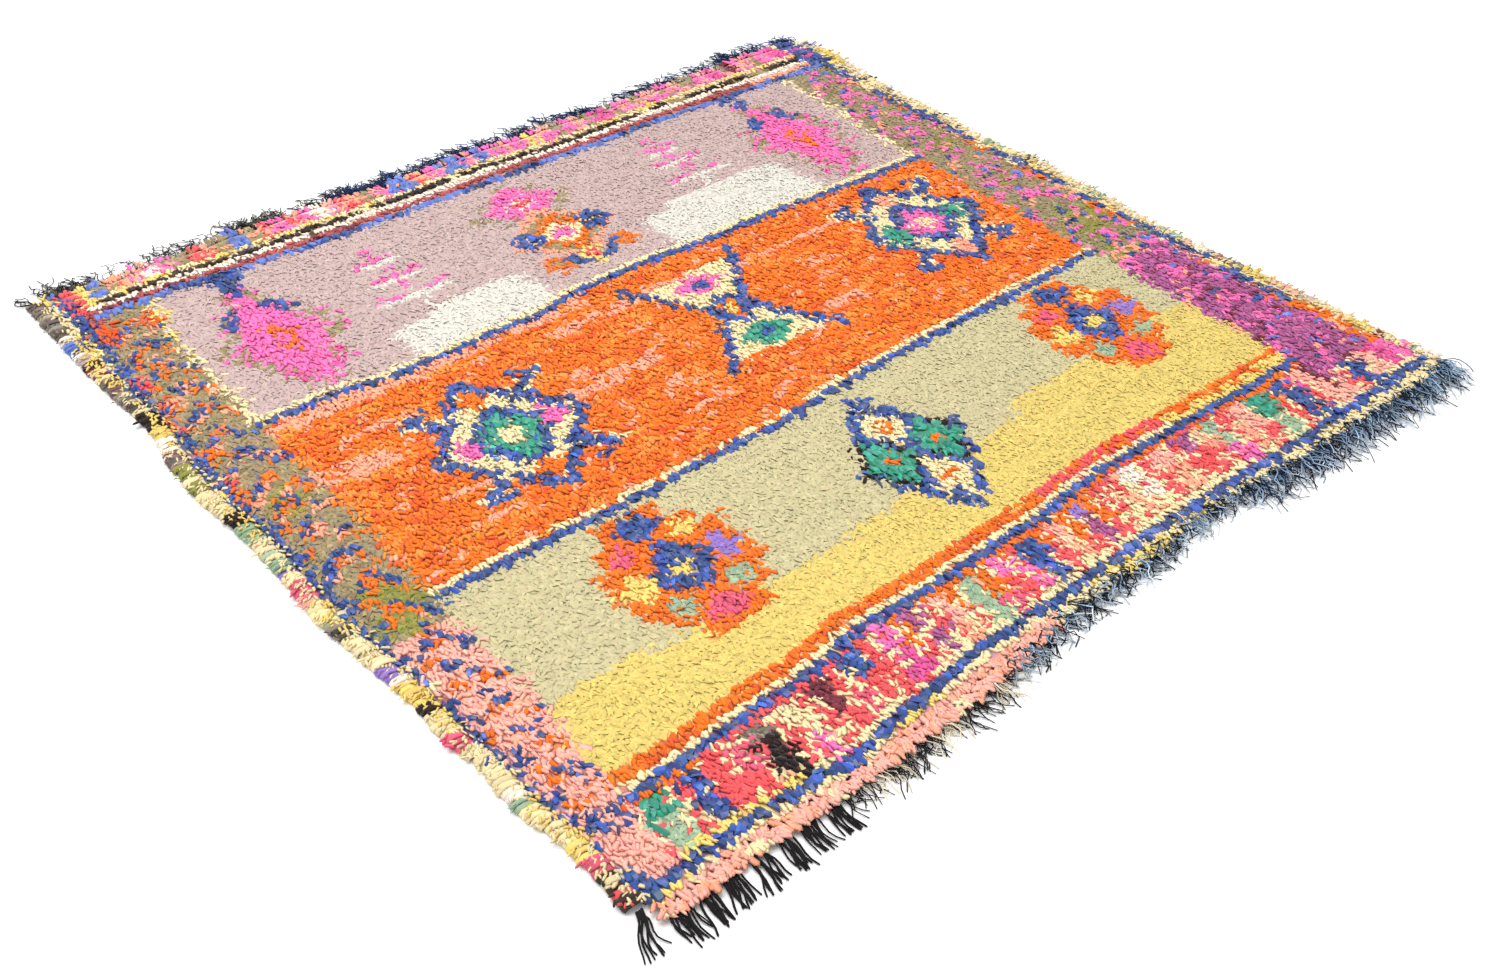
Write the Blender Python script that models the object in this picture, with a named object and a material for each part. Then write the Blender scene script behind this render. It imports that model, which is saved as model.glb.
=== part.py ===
"""Boucherouite rug: knotted rag pile, overcast side edges and two fringed ends.

Metres, +Z up. The rug lies flat with its underside on z = 0 and the middle of its
plan at the origin. +X runs along the near fringed end, +Y from the near end to the
far end. The pile is one lumpy slab, each side edge an overcast roll with short rag
locks, and each end a row of narrow bands, one for each warp colour, whose strands
lie on the floor.
"""
import math
from collections import namedtuple

import bpy
import bmesh
from mathutils import Vector, noise

# Whole rug, without the fringe
RUG_WIDTH = 1.640
RUG_LENGTH = 1.450
GAP = 0.0003

# Knotted pile
PILE_COLUMNS = 44
PILE_ROWS = 38
PILE_THICKNESS = 0.0130
PILE_RIM_THICKNESS = 0.0090
PILE_FOOT = 0.0045
PILE_RIM_WIDTH = 0.045
PILE_SHOULDER = 0.0030
LUMP_HEIGHT = 0.0022
LUMP_SPREAD = 0.085
ROW_LUMP_HEIGHT = 0.0009
ROW_LUMP_SPREAD = 0.040

# Overcast side edges
SELVEDGE_WIDTH = 0.0260
SELVEDGE_HEIGHT = 0.0105
WRAPS_PER_ROW = 2
WRAP_SWELL = 0.14
LOCK_EVERY = 3
LOCK_LENGTH = 0.0085
LOCK_HEIGHT = 0.0040

# End bands that hold the fringe
BAND_WIDTH = 0.0080
BAND_HEIGHT = 0.0052
STRAND_WIDTH = 0.0050
STRAND_TIP_WIDTH = 0.0018
STRAND_TIP_HEIGHT = 0.0018

# How far each edge strays outwards from the plain rectangle, in metres
EdgeRow = namedtuple("EdgeRow", "place stray")
LEFT_EDGE = [EdgeRow(*row) for row in (
    (-0.72, -0.008), (-0.62, -0.010), (-0.54, 0.002), (-0.46, -0.004), (-0.41, 0.004),
    (-0.35, -0.001), (-0.21, 0.006), (-0.16, 0.014), (-0.07, 0.008), (0.07, 0.004),
    (0.15, 0.012), (0.24, 0.008), (0.33, -0.008), (0.50, -0.003), (0.65, -0.005),
    (0.72, -0.006))]
RIGHT_EDGE = [EdgeRow(*row) for row in (
    (-0.72, 0.016), (-0.62, 0.005), (-0.43, 0.000), (-0.28, -0.009), (-0.13, -0.010),
    (-0.05, 0.001), (0.02, -0.005), (0.09, 0.010), (0.16, -0.010), (0.25, -0.012),
    (0.32, -0.002), (0.46, -0.005), (0.57, 0.006), (0.64, 0.019), (0.72, 0.013))]
NEAR_EDGE = [EdgeRow(*row) for row in (
    (-0.82, -0.012), (-0.78, 0.004), (-0.66, -0.001), (-0.54, 0.004), (-0.43, 0.006),
    (-0.32, 0.003), (-0.21, -0.001), (-0.11, -0.016), (0.06, -0.011), (0.21, -0.018),
    (0.37, -0.010), (0.42, 0.000), (0.60, 0.008), (0.70, 0.011), (0.82, 0.013))]
FAR_EDGE = [EdgeRow(*row) for row in (
    (-0.82, 0.006), (-0.76, -0.004), (-0.69, -0.009), (-0.62, 0.009), (-0.57, -0.006),
    (-0.50, 0.006), (-0.44, 0.000), (-0.35, 0.004), (-0.29, -0.002), (-0.20, -0.011),
    (-0.10, -0.004), (0.02, 0.005), (0.10, -0.004), (0.16, 0.003), (0.28, -0.003),
    (0.40, 0.000), (0.52, 0.004), (0.58, 0.000), (0.66, 0.009), (0.74, 0.005), (0.82, -0.004))]

# One row for each band of fringe: the columns of the pile that it spans, strands in a
# column, strands in a bunch, length, how far a bunch leans, how much it curls
FringeRow = namedtuple("FringeRow", "name end first last per_column bunch length lean curl colour")
FRINGES = [FringeRow(*row) for row in (
    ("fringe_near_black", -1, 0, 7, 3, 3, 0.056, -0.10, 0.0016, (0.035, 0.028, 0.024)),
    ("fringe_near_mixed", -1, 7, 15, 3, 3, 0.040, 0.04, 0.0034, (0.420, 0.360, 0.280)),
    ("fringe_near_grey", -1, 15, 30, 3, 4, 0.040, 0.05, 0.0026, (0.200, 0.220, 0.250)),
    ("fringe_near_indigo", -1, 30, 44, 3, 4, 0.058, -0.06, 0.0014, (0.040, 0.070, 0.140)),
    ("fringe_far_black", 1, 0, 14, 2, 3, 0.040, 0.06, 0.0026, (0.035, 0.028, 0.024)),
    ("fringe_far_indigo", 1, 14, 44, 2, 4, 0.044, 0.05, 0.0018, (0.030, 0.055, 0.120)))]
LENGTH_SPREAD = 0.20
BUNCH_DRAW = 0.55
STRAND_STEPS = 3

PILE_COLOUR = (0.760, 0.330, 0.140)
SELVEDGE_COLOUR = (0.480, 0.430, 0.340)
YARN_ROUGHNESS = 0.92


def clear_scene():
    for thing in list(bpy.data.objects):
        bpy.data.objects.remove(thing)


def blend(low, high, share):
    return low + (high - low) * share


def smooth(share):
    share = min(max(share, 0.0), 1.0)
    return share * share * (3 - 2 * share)


def stray_at(table, place):
    """Stray of an edge at a place along it, eased from one table row to the next."""
    if place <= table[0].place:
        return table[0].stray
    for low, high in zip(table, table[1:]):
        if place <= high.place:
            share = (place - low.place) / (high.place - low.place)
            return blend(low.stray, high.stray, smooth(share))
    return table[-1].stray


def on_stations(table, share, steps, span):
    """The edge read at evenly spaced stations and straight between them, so that
    neighbouring pieces, cut at other places, still follow the same line."""
    share = min(max(share, 0.0), 1.0)
    step = min(int(share * steps), steps - 1)
    low = stray_at(table, (step / steps - 0.5) * span)
    high = stray_at(table, ((step + 1) / steps - 0.5) * span)
    return blend(low, high, share * steps - step)


def side_x(side, along, inset):
    """X of the left (-1) or right (+1) edge, at a share of the length."""
    table = LEFT_EDGE if side < 0 else RIGHT_EDGE
    stray = on_stations(table, along, PILE_ROWS, RUG_LENGTH)
    return side * (RUG_WIDTH / 2 + stray - inset)


def end_y(end, across, inset):
    """Y of the near (-1) or far (+1) edge, at a share of the width."""
    table = NEAR_EDGE if end < 0 else FAR_EDGE
    stray = on_stations(table, across, PILE_COLUMNS, RUG_WIDTH)
    return end * (RUG_LENGTH / 2 + stray - inset)


def plan_point(across, along):
    """Place in plan of a point of the pile, from its shares of width and length."""
    side_inset = SELVEDGE_WIDTH + GAP
    end_inset = BAND_WIDTH + GAP
    x = blend(side_x(-1, along, side_inset), side_x(1, along, side_inset), across)
    y = blend(end_y(-1, across, end_inset), end_y(1, across, end_inset), along)
    return x, y


def pile_height(x, y, rim_distance):
    """Height of the lumpy pile, lower towards its rim."""
    rise = smooth(rim_distance / PILE_RIM_WIDTH)
    body = blend(PILE_RIM_THICKNESS, PILE_THICKNESS, rise)
    broad = noise.noise(Vector((x, y, 0.0)) / LUMP_SPREAD)
    rows = noise.noise(Vector((x * 0.5, y, 0.4)) / ROW_LUMP_SPREAD)
    return body + rise * (LUMP_HEIGHT * broad + ROW_LUMP_HEIGHT * rows)


def yarn_material(name, colour):
    material = bpy.data.materials.new(name)
    material.use_nodes = True
    shader = material.node_tree.nodes["Principled BSDF"]
    shader.inputs["Base Color"].default_value = (*colour, 1.0)
    shader.inputs["Roughness"].default_value = YARN_ROUGHNESS
    shader.inputs["Metallic"].default_value = 0.0
    return material


def finish_piece(bm, name, colour, collection):
    bmesh.ops.recalc_face_normals(bm, faces=bm.faces)
    mesh = bpy.data.meshes.new(name)
    bm.to_mesh(mesh)
    bm.free()
    piece = bpy.data.objects.new(name, mesh)
    mesh.materials.append(yarn_material(name, colour))
    collection.objects.link(piece)
    return piece


def make_pile(collection):
    """A grid is laid to the rug's outline and lumps, then given its sides and underside."""
    bm = bmesh.new()
    bmesh.ops.create_grid(bm, x_segments=PILE_COLUMNS, y_segments=PILE_ROWS, size=0.5)
    for vert in bm.verts:
        across = vert.co.x + 0.5
        along = vert.co.y + 0.5
        x, y = plan_point(across, along)
        to_side = min(across, 1 - across) * RUG_WIDTH
        to_end = min(along, 1 - along) * RUG_LENGTH
        vert.co = (x, y, pile_height(x, y, min(to_side, to_end)))
    sides = grow_skirt(bm, PILE_FOOT)
    pull_in_shoulder(sides, PILE_SHOULDER)
    grow_skirt(bm, 0.0)
    rim = [edge for edge in bm.edges if edge.is_boundary]
    bmesh.ops.contextual_create(bm, geom=rim)
    return finish_piece(bm, "knotted_pile", PILE_COLOUR, collection)


def grow_skirt(bm, level):
    """Extrude the open rim straight down to a level, and return the rim it came from."""
    rim = [edge for edge in bm.edges if edge.is_boundary]
    upper = {vert for edge in rim for vert in edge.verts}
    made = bmesh.ops.extrude_edge_only(bm, edges=rim)["geom"]
    for vert in made:
        if isinstance(vert, bmesh.types.BMVert):
            vert.co.z = level
    return upper


def pull_in_shoulder(verts, distance):
    """Draw the upper rim inwards, so that the pile's edge is rounded and not square."""
    for vert in verts:
        in_x = max(0.0, 1 - (RUG_WIDTH / 2 - abs(vert.co.x)) / PILE_RIM_WIDTH)
        in_y = max(0.0, 1 - (RUG_LENGTH / 2 - abs(vert.co.y)) / PILE_RIM_WIDTH)
        vert.co.x -= math.copysign(distance * min(in_x, 1.0), vert.co.x)
        vert.co.y -= math.copysign(distance * min(in_y, 1.0), vert.co.y)


def roll_section(side, along, swell):
    """Section of an overcast edge, from the pile's side round to the outer foot."""
    inner = side_x(side, along, SELVEDGE_WIDTH)
    outer = side_x(side, along, LOCK_LENGTH * 0.4)
    reach = (outer - inner) * (1 + swell * 0.5)
    top = SELVEDGE_HEIGHT * (1 + swell)
    profile = ((0.0, 0.0), (0.0, top * 0.80), (0.35, top), (0.80, top * 0.86),
               (1.0, LOCK_HEIGHT), (1.0, 0.0))
    return [(inner + reach * share, level) for share, level in profile]


def make_selvedge(name, side, collection):
    """A section is extruded from wrap to wrap along the edge, then the locks grow out."""
    bm = bmesh.new()
    across = 0.0 if side < 0 else 1.0
    near = end_y(-1, across, BAND_WIDTH + GAP)
    far = end_y(1, across, BAND_WIDTH + GAP)
    wraps = PILE_ROWS * WRAPS_PER_ROW
    section = [bm.verts.new((x, near, z)) for x, z in roll_section(side, 0.0, 0.0)]
    face = bm.faces.new(section)
    for wrap in range(1, wraps + 1):
        along = wrap / wraps
        swell = 0.0 if wrap % 2 == 0 else WRAP_SWELL
        face = bmesh.ops.extrude_discrete_faces(bm, faces=[face])["faces"][0]
        points = roll_section(side, along, swell)
        for vert, (x, z) in zip(face.verts, points):
            vert.co = (x, blend(near, far, along), z)
    rim = [edge for edge in bm.edges if edge.is_boundary]
    bmesh.ops.contextual_create(bm, geom=rim)
    grow_locks(bm, side)
    return finish_piece(bm, name, SELVEDGE_COLOUR, collection)


def grow_locks(bm, side):
    """Short rag locks that stand out of every third wrap and rest on the floor."""
    outer = [face for face in bm.faces if is_outer(face)]
    outer.sort(key=lambda face: face.calc_center_median().y)
    for face in outer[1:-1:LOCK_EVERY]:
        middle = face.calc_center_median()
        reach = LOCK_LENGTH * (1 + 0.3 * noise.noise(middle / ROW_LUMP_SPREAD))
        for share in (0.6, 0.4):
            face = bmesh.ops.extrude_discrete_faces(bm, faces=[face])["faces"][0]
            middle = face.calc_center_median()
            for vert in face.verts:
                vert.co.y = middle.y + (vert.co.y - middle.y) * 0.72
                vert.co.z *= 0.80
                vert.co.x += side * reach * share


def is_outer(face):
    """A face of the roll's outer foot, from the floor to the height of a lock."""
    levels = sorted(vert.co.z for vert in face.verts)
    upright = levels[1] < 0.0001 and abs(levels[-1] - LOCK_HEIGHT) < 0.0001
    return len(levels) == 4 and upright


def strand_centres(row, column):
    """Shares of the width at which the strands of one column are rooted."""
    return [(column + (place + 0.5) / row.per_column) / PILE_COLUMNS
            for place in range(row.per_column)]


def band_outline(row):
    """Plan of a band: back line on the pile's stations, front line cut at each root."""
    half_root = STRAND_WIDTH / 2 / RUG_WIDTH
    stations = [column / PILE_COLUMNS for column in range(row.first, row.last + 1)]
    roots = [root for column in range(row.first, row.last) for root in strand_centres(row, column)]
    cuts = sorted(stations + [root + hand * half_root for root in roots for hand in (-1, 1)])
    front = band_line(row, cuts, 0.0)
    back = band_line(row, stations, BAND_WIDTH)
    return front, back, roots


def band_line(row, shares, inset):
    """One long side of a band, parted from the next band and run out over a side edge."""
    along = 0.0 if row.end < 0 else 1.0
    left = side_x(-1, along, SELVEDGE_WIDTH + GAP)
    right = side_x(1, along, SELVEDGE_WIDTH + GAP)
    line = [[blend(left, right, share), end_y(row.end, share, inset)] for share in shares]
    if row.first == 0:
        line.insert(0, [line[0][0] - SELVEDGE_WIDTH, line[0][1]])
    else:
        line[0][0] += GAP / 2
    if row.last == PILE_COLUMNS:
        line.append([line[-1][0] + SELVEDGE_WIDTH, line[-1][1]])
    else:
        line[-1][0] -= GAP / 2
    return line


def strand_path(row, root, number, total):
    """Points, widths and heights of one strand, drawn towards the middle of its bunch."""
    bunch = number // row.bunch
    first = bunch * row.bunch
    middle_number = (first + min(first + row.bunch, total) - 1) / 2
    pitch = RUG_WIDTH / PILE_COLUMNS / row.per_column
    draw = (middle_number - number) * pitch * BUNCH_DRAW
    wander = noise.noise(Vector((bunch * 1.7, row.first * 0.37, row.end * 2.0)))
    lean = (row.lean + 0.22 * wander) * row.length
    own = noise.noise(Vector((number * 0.83, row.first * 0.51, row.end * 3.0)))
    length = row.length * (1 + LENGTH_SPREAD * (wander + own))
    points = []
    for step in range(1, STRAND_STEPS + 1):
        share = step / STRAND_STEPS
        curl = row.curl * math.sin(2.6 * math.pi * share + bunch)
        sideways = (draw + lean) * smooth(share) + curl * share
        width = blend(STRAND_WIDTH, STRAND_TIP_WIDTH, share)
        height = blend(BAND_HEIGHT, STRAND_TIP_HEIGHT, share)
        points.append((sideways, row.end * length * share, width, height))
    return points


def make_fringe(row, collection):
    """A band is cut out in plan and raised, then each root face grows into a strand."""
    bm = bmesh.new()
    front, back, roots = band_outline(row)
    outline = [bm.verts.new((x, y, 0.0)) for x, y in front + back[::-1]]
    plan = bm.faces.new(outline)
    raised = bmesh.ops.extrude_face_region(bm, geom=[plan])["geom"]
    for vert in raised:
        if isinstance(vert, bmesh.types.BMVert):
            vert.co.z = BAND_HEIGHT
    root_faces = find_root_faces(bm, row, front)
    for number, (root, face) in enumerate(zip(roots, root_faces)):
        middle = face.calc_center_median()
        for sideways, outwards, width, height in strand_path(row, root, number, len(roots)):
            face = bmesh.ops.extrude_discrete_faces(bm, faces=[face])["faces"][0]
            centre = face.calc_center_median()
            for vert in face.verts:
                hand = math.copysign(1.0, vert.co.x - centre.x)
                vert.co.x = middle.x + sideways + hand * width / 2
                vert.co.y = middle.y + outwards
                vert.co.z = height if vert.co.z > 0.0001 else 0.0
    return finish_piece(bm, row.name, row.colour, collection)


def find_root_faces(bm, row, front):
    """Upright faces of the front line that are one strand wide, from left to right."""
    low = min(y * row.end for x, y in front)
    found = []
    for face in bm.faces:
        if len(face.verts) != 4:
            continue
        xs = [vert.co.x for vert in face.verts]
        middle = face.calc_center_median()
        wide = abs(max(xs) - min(xs) - STRAND_WIDTH) < STRAND_WIDTH * 0.05
        if wide and middle.y * row.end > low - BAND_WIDTH * 0.1:
            found.append(face)
    found.sort(key=lambda face: face.calc_center_median().x)
    return found


def main():
    clear_scene()
    collection = bpy.data.collections.new("boucherouite_rug")
    bpy.context.scene.collection.children.link(collection)
    make_pile(collection)
    make_selvedge("selvedge_left", -1, collection)
    make_selvedge("selvedge_right", 1, collection)
    for row in FRINGES:
        make_fringe(row, collection)


main()
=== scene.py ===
# %% [markdown]
# A boucherouite rug is woven on an upright loom. Rows of rag strips are knotted round
# the warp, beaten down with a few picks of weft, and left long, so the strips fall
# over the row below like thatch. The side cords are wrapped with rag, and the warp
# ends are left as a fringe.
#
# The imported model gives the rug's true size and outline. This script lays the cloth,
# the knots, the wrapped edges and the fringe yarn over it, in metres, with +Z up. One
# chance generator, `rng`, is drawn from in a fixed order, so each run gives the same rug.

# %% Load the frame
import math
from collections import namedtuple

import bpy
import numpy as np
from mathutils import Matrix, Vector, noise


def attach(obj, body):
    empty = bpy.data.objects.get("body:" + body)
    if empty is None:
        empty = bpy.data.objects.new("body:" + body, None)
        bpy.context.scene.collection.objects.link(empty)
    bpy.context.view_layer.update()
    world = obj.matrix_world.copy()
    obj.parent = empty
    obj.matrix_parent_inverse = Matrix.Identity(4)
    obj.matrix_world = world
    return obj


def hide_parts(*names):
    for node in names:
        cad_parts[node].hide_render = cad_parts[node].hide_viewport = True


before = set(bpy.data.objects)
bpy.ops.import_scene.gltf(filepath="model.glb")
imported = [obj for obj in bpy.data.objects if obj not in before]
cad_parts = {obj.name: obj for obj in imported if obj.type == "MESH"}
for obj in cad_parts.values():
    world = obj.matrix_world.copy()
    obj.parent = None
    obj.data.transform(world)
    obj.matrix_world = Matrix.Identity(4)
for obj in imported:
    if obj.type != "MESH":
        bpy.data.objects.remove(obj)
scene = bpy.context.scene
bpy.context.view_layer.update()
rng = np.random.default_rng(1850)
print("frame:", sorted(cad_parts))

# %% [markdown]
# The picture looks down on the rug from beyond its near left corner. A lens a little
# longer than normal keeps the far side from shrinking too much. The camera is turned by
# three plain angles: the heading over the floor, the pitch down and a slight roll.

# %% Camera
CAMERA_PLACE = Vector((-1.4547, -1.4691, 1.4073))
CAMERA_HEADING = math.radians(44.56)
CAMERA_PITCH = math.radians(39.48)
CAMERA_ROLL = math.radians(4.245)
CAMERA_LENS = 38.541
SENSOR_WIDTH = 36.0

camera_data = bpy.data.cameras.new("camera")
camera_data.lens = CAMERA_LENS
camera_data.sensor_width = SENSOR_WIDTH
camera_data.sensor_fit = "HORIZONTAL"
camera = bpy.data.objects.new("camera", camera_data)
scene.collection.objects.link(camera)
turn = (Matrix.Rotation(CAMERA_HEADING - math.pi / 2, 4, "Z")
        @ Matrix.Rotation(math.pi / 2 - CAMERA_PITCH, 4, "X")
        @ Matrix.Rotation(CAMERA_ROLL, 4, "Z"))
camera.matrix_world = Matrix.Translation(CAMERA_PLACE) @ turn
scene.camera = camera
print("camera at", tuple(round(value, 3) for value in CAMERA_PLACE))

# %% [markdown]
# Product pictures of rugs are lit from all round, so that the shadow under the rug
# almost goes away. A white world does that, and one very large soft lamp above and
# behind the rug gives the knots their light and dark sides.

# %% Light and floor
WORLD_STRENGTH = 0.88
LAMP_SIZE = 3.2
LAMP_PLACE = Vector((-0.9, 0.5, 3.2))
LAMP_POWER = 104.0
FLOOR_SIZE = 14.0
FLOOR_COLOUR = (0.93, 0.93, 0.93, 1.0)
FLOOR_ROUGHNESS = 0.9
FLOOR_SPECULAR = 0.1

world = bpy.data.worlds.new("studio")
world.use_nodes = True
backdrop = world.node_tree.nodes["Background"]
backdrop.inputs["Color"].default_value = (1.0, 1.0, 1.0, 1.0)
backdrop.inputs["Strength"].default_value = WORLD_STRENGTH
scene.world = world

lamp_data = bpy.data.lights.new("softbox", "AREA")
lamp_data.shape = "DISK"
lamp_data.size = LAMP_SIZE
lamp_data.energy = LAMP_POWER
lamp = bpy.data.objects.new("softbox", lamp_data)
lamp.location = LAMP_PLACE
lamp.rotation_euler = (-LAMP_PLACE).to_track_quat("-Z", "Y").to_euler()
scene.collection.objects.link(lamp)

floor_mesh = bpy.data.meshes.new("studio_floor")
half_floor = FLOOR_SIZE / 2
floor_mesh.from_pydata([(-half_floor, -half_floor, 0), (half_floor, -half_floor, 0),
                        (half_floor, half_floor, 0), (-half_floor, half_floor, 0)],
                       [], [(0, 1, 2, 3)])
floor = bpy.data.objects.new("studio_floor", floor_mesh)
scene.collection.objects.link(floor)
floor_paint = bpy.data.materials.new("floor_paint")
floor_paint.use_nodes = True
floor_shader = floor_paint.node_tree.nodes["Principled BSDF"]
floor_shader.inputs["Base Color"].default_value = FLOOR_COLOUR
floor_shader.inputs["Roughness"].default_value = FLOOR_ROUGHNESS
floor_shader.inputs["Specular IOR Level"].default_value = FLOOR_SPECULAR
floor_mesh.materials.append(floor_paint)
scene.view_settings.view_transform = "Standard"
print("light: world", WORLD_STRENGTH, "lamp", LAMP_POWER)

# %% [markdown]
# The rug's four edges wander, because the rags differ in thickness and the loom is
# narrow or wide from one sitting to the next. These are the same wavy edges as the
# frame has: each table gives a place along an edge and how far the edge strays
# outwards there. NumPy reads a whole array of places at once, which matters later,
# when there are tens of thousands of knots.

# %% Wavy outline
RUG_WIDTH = 1.640
RUG_LENGTH = 1.450
GAP = 0.0003
SELVEDGE_WIDTH = 0.0260
BAND_WIDTH = 0.0080
PILE_COLUMNS = 44
PILE_ROWS = 38

LEFT_EDGE = ((-0.72, -0.008), (-0.62, -0.010), (-0.54, 0.002), (-0.46, -0.004), (-0.41, 0.004),
             (-0.35, -0.001), (-0.21, 0.006), (-0.16, 0.014), (-0.07, 0.008), (0.07, 0.004),
             (0.15, 0.012), (0.24, 0.008), (0.33, -0.008), (0.50, -0.003), (0.65, -0.005),
             (0.72, -0.006))
RIGHT_EDGE = ((-0.72, 0.016), (-0.62, 0.005), (-0.43, 0.000), (-0.28, -0.009), (-0.13, -0.010),
              (-0.05, 0.001), (0.02, -0.005), (0.09, 0.010), (0.16, -0.010), (0.25, -0.012),
              (0.32, -0.002), (0.46, -0.005), (0.57, 0.006), (0.64, 0.019), (0.72, 0.013))
NEAR_EDGE = ((-0.82, -0.012), (-0.78, 0.004), (-0.66, -0.001), (-0.54, 0.004), (-0.43, 0.006),
             (-0.32, 0.003), (-0.21, -0.001), (-0.11, -0.016), (0.06, -0.011), (0.21, -0.018),
             (0.37, -0.010), (0.42, 0.000), (0.60, 0.008), (0.70, 0.011), (0.82, 0.013))
FAR_EDGE = ((-0.82, 0.006), (-0.76, -0.004), (-0.69, -0.009), (-0.62, 0.009), (-0.57, -0.006),
            (-0.50, 0.006), (-0.44, 0.000), (-0.35, 0.004), (-0.29, -0.002), (-0.20, -0.011),
            (-0.10, -0.004), (0.02, 0.005), (0.10, -0.004), (0.16, 0.003), (0.28, -0.003),
            (0.40, 0.000), (0.52, 0.004), (0.58, 0.000), (0.66, 0.009), (0.74, 0.005),
            (0.82, -0.004))


def smooth(share):
    """Ease from 0 to 1, flat at both ends."""
    share = np.clip(share, 0.0, 1.0)
    return share * share * (3 - 2 * share)


def stations(table, steps, span):
    """Stray of an edge at evenly spaced stations along it."""
    places = [row[0] for row in table]
    strays = [row[1] for row in table]
    found = []
    for step in range(steps + 1):
        place = min(max((step / steps - 0.5) * span, places[0]), places[-1])
        index = min(max(np.searchsorted(places, place), 1), len(places) - 1)
        share = (place - places[index - 1]) / (places[index] - places[index - 1])
        eased = float(smooth(share))
        found.append(strays[index - 1] * (1 - eased) + strays[index] * eased)
    return np.array(found)


SIDE_STRAYS = {-1: stations(LEFT_EDGE, PILE_ROWS, RUG_LENGTH),
               1: stations(RIGHT_EDGE, PILE_ROWS, RUG_LENGTH)}
END_STRAYS = {-1: stations(NEAR_EDGE, PILE_COLUMNS, RUG_WIDTH),
              1: stations(FAR_EDGE, PILE_COLUMNS, RUG_WIDTH)}


def side_x(side, along, inset):
    """X of the left (-1) or right (+1) edge, at shares of the length."""
    strays = SIDE_STRAYS[side]
    stray = np.interp(along, np.linspace(0, 1, len(strays)), strays)
    return side * (RUG_WIDTH / 2 + stray - inset)


def end_y(end, across, inset):
    """Y of the near (-1) or far (+1) edge, at shares of the width."""
    strays = END_STRAYS[end]
    stray = np.interp(across, np.linspace(0, 1, len(strays)), strays)
    return end * (RUG_LENGTH / 2 + stray - inset)


def plan_point(across, along):
    """Place in plan of points of the pile, from their shares of width and length."""
    left = side_x(-1, along, SELVEDGE_WIDTH + GAP)
    right = side_x(1, along, SELVEDGE_WIDTH + GAP)
    near = end_y(-1, across, BAND_WIDTH + GAP)
    far = end_y(1, across, BAND_WIDTH + GAP)
    return left + (right - left) * across, near + (far - near) * along


print("outline: side strays", SIDE_STRAYS[-1].min().round(4), SIDE_STRAYS[1].max().round(4))

# %% [markdown]
# A weaver sorts the rags by what they do in the pile. Cut jersey and cotton ("rag")
# makes chunky soft ends, unravelled knitting ("fine") mats into thin strands, and
# lining or blouse cloth keeps crisp, shiny folds, wide ("satin") or cut narrow ("slim").
# Each yarn below has its kind and its dyed colour as it looks in daylight, on the usual
# 0 to 255 scale, and how much one end differs from the next.

# %% Yarns
Yarn = namedtuple("Yarn", "name kind colour spread")
YARNS = [Yarn(*row) for row in (
    ("orange", "rag", (240, 114, 22), 0.11),
    ("apricot", "rag", (244, 142, 54), 0.08),
    ("rust", "rag", (226, 90, 30), 0.09),
    ("salmon", "rag", (250, 164, 132), 0.08),
    ("blush", "rag", (246, 173, 156), 0.07),
    ("coral", "rag", (238, 86, 90), 0.11),
    ("rose", "rag", (226, 92, 120), 0.12),
    ("cream", "rag", (238, 218, 168), 0.07),
    ("ivory", "rag", (248, 230, 212), 0.06),
    ("butter", "rag", (238, 206, 112), 0.09),
    ("yellow", "fine", (213, 190, 106), 0.07),
    ("blue", "satin", (36, 66, 134), 0.34),
    ("cobalt", "slim", (38, 68, 134), 0.34),
    ("iris", "slim", (92, 104, 184), 0.20),
    ("periwinkle", "satin", (88, 112, 186), 0.14),
    ("teal", "satin", (34, 140, 114), 0.18),
    ("black", "rag", (38, 22, 21), 0.22),
    ("brown", "rag", (62, 48, 38), 0.20),
    ("maroon", "rag", (122, 46, 62), 0.14),
    ("brick", "rag", (174, 82, 80), 0.14),
    ("magenta", "rag", (222, 84, 150), 0.12),
    ("pink", "rag", (244, 112, 178), 0.12),
    ("purple", "rag", (170, 88, 140), 0.17),
    ("lavender", "fine", (142, 114, 186), 0.10),
    ("mint", "fine", (148, 172, 141), 0.12),
    ("sage", "fine", (192, 182, 141), 0.06),
    ("mauve", "fine", (187, 163, 159), 0.07),
    ("white", "fine", (209, 205, 194), 0.05),
    ("khaki", "fine", (148, 132, 98), 0.17),
    ("olive", "fine", (136, 134, 64), 0.14),
    ("tweed", "fine", (118, 106, 96), 0.34))]
YARN_NUMBER = {yarn.name: number for number, yarn in enumerate(YARNS)}


def to_linear(colour):
    """Linear light of a colour on the 0 to 255 scale."""
    share = np.asarray(colour, dtype=float) / 255.0
    return np.where(share <= 0.04045, share / 12.92, ((share + 0.055) / 1.055) ** 2.4)


YARN_COLOURS = np.array([to_linear(yarn.colour) for yarn in YARNS])
YARN_SPREADS = np.array([yarn.spread for yarn in YARNS])
YARN_KINDS = np.array([yarn.kind for yarn in YARNS])
print("yarns:", len(YARNS))

# %% [markdown]
# Knots are tied in rows, and the rows wave, because no weaver beats all of them down
# alike. A line in the design is a whole row in one colour, so it waves with its row.
# Six guide rows say where such lines show on the rug, and the rows between them are
# spread evenly. The ends of a knot hang towards the near side, so each row shows a
# little nearer than it is tied, by the length FALL.

# %% Rows of knots
KNOT_ROWS = 130
KNOT_COLUMNS = 166
KNOT_PITCH = RUG_WIDTH / KNOT_COLUMNS
LOOM_RIM = RUG_LENGTH / 2 - BAND_WIDTH - GAP
ROW_PITCH = 2 * LOOM_RIM / KNOT_ROWS
ROW_START = 0.62
FALL = 0.0105

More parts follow.
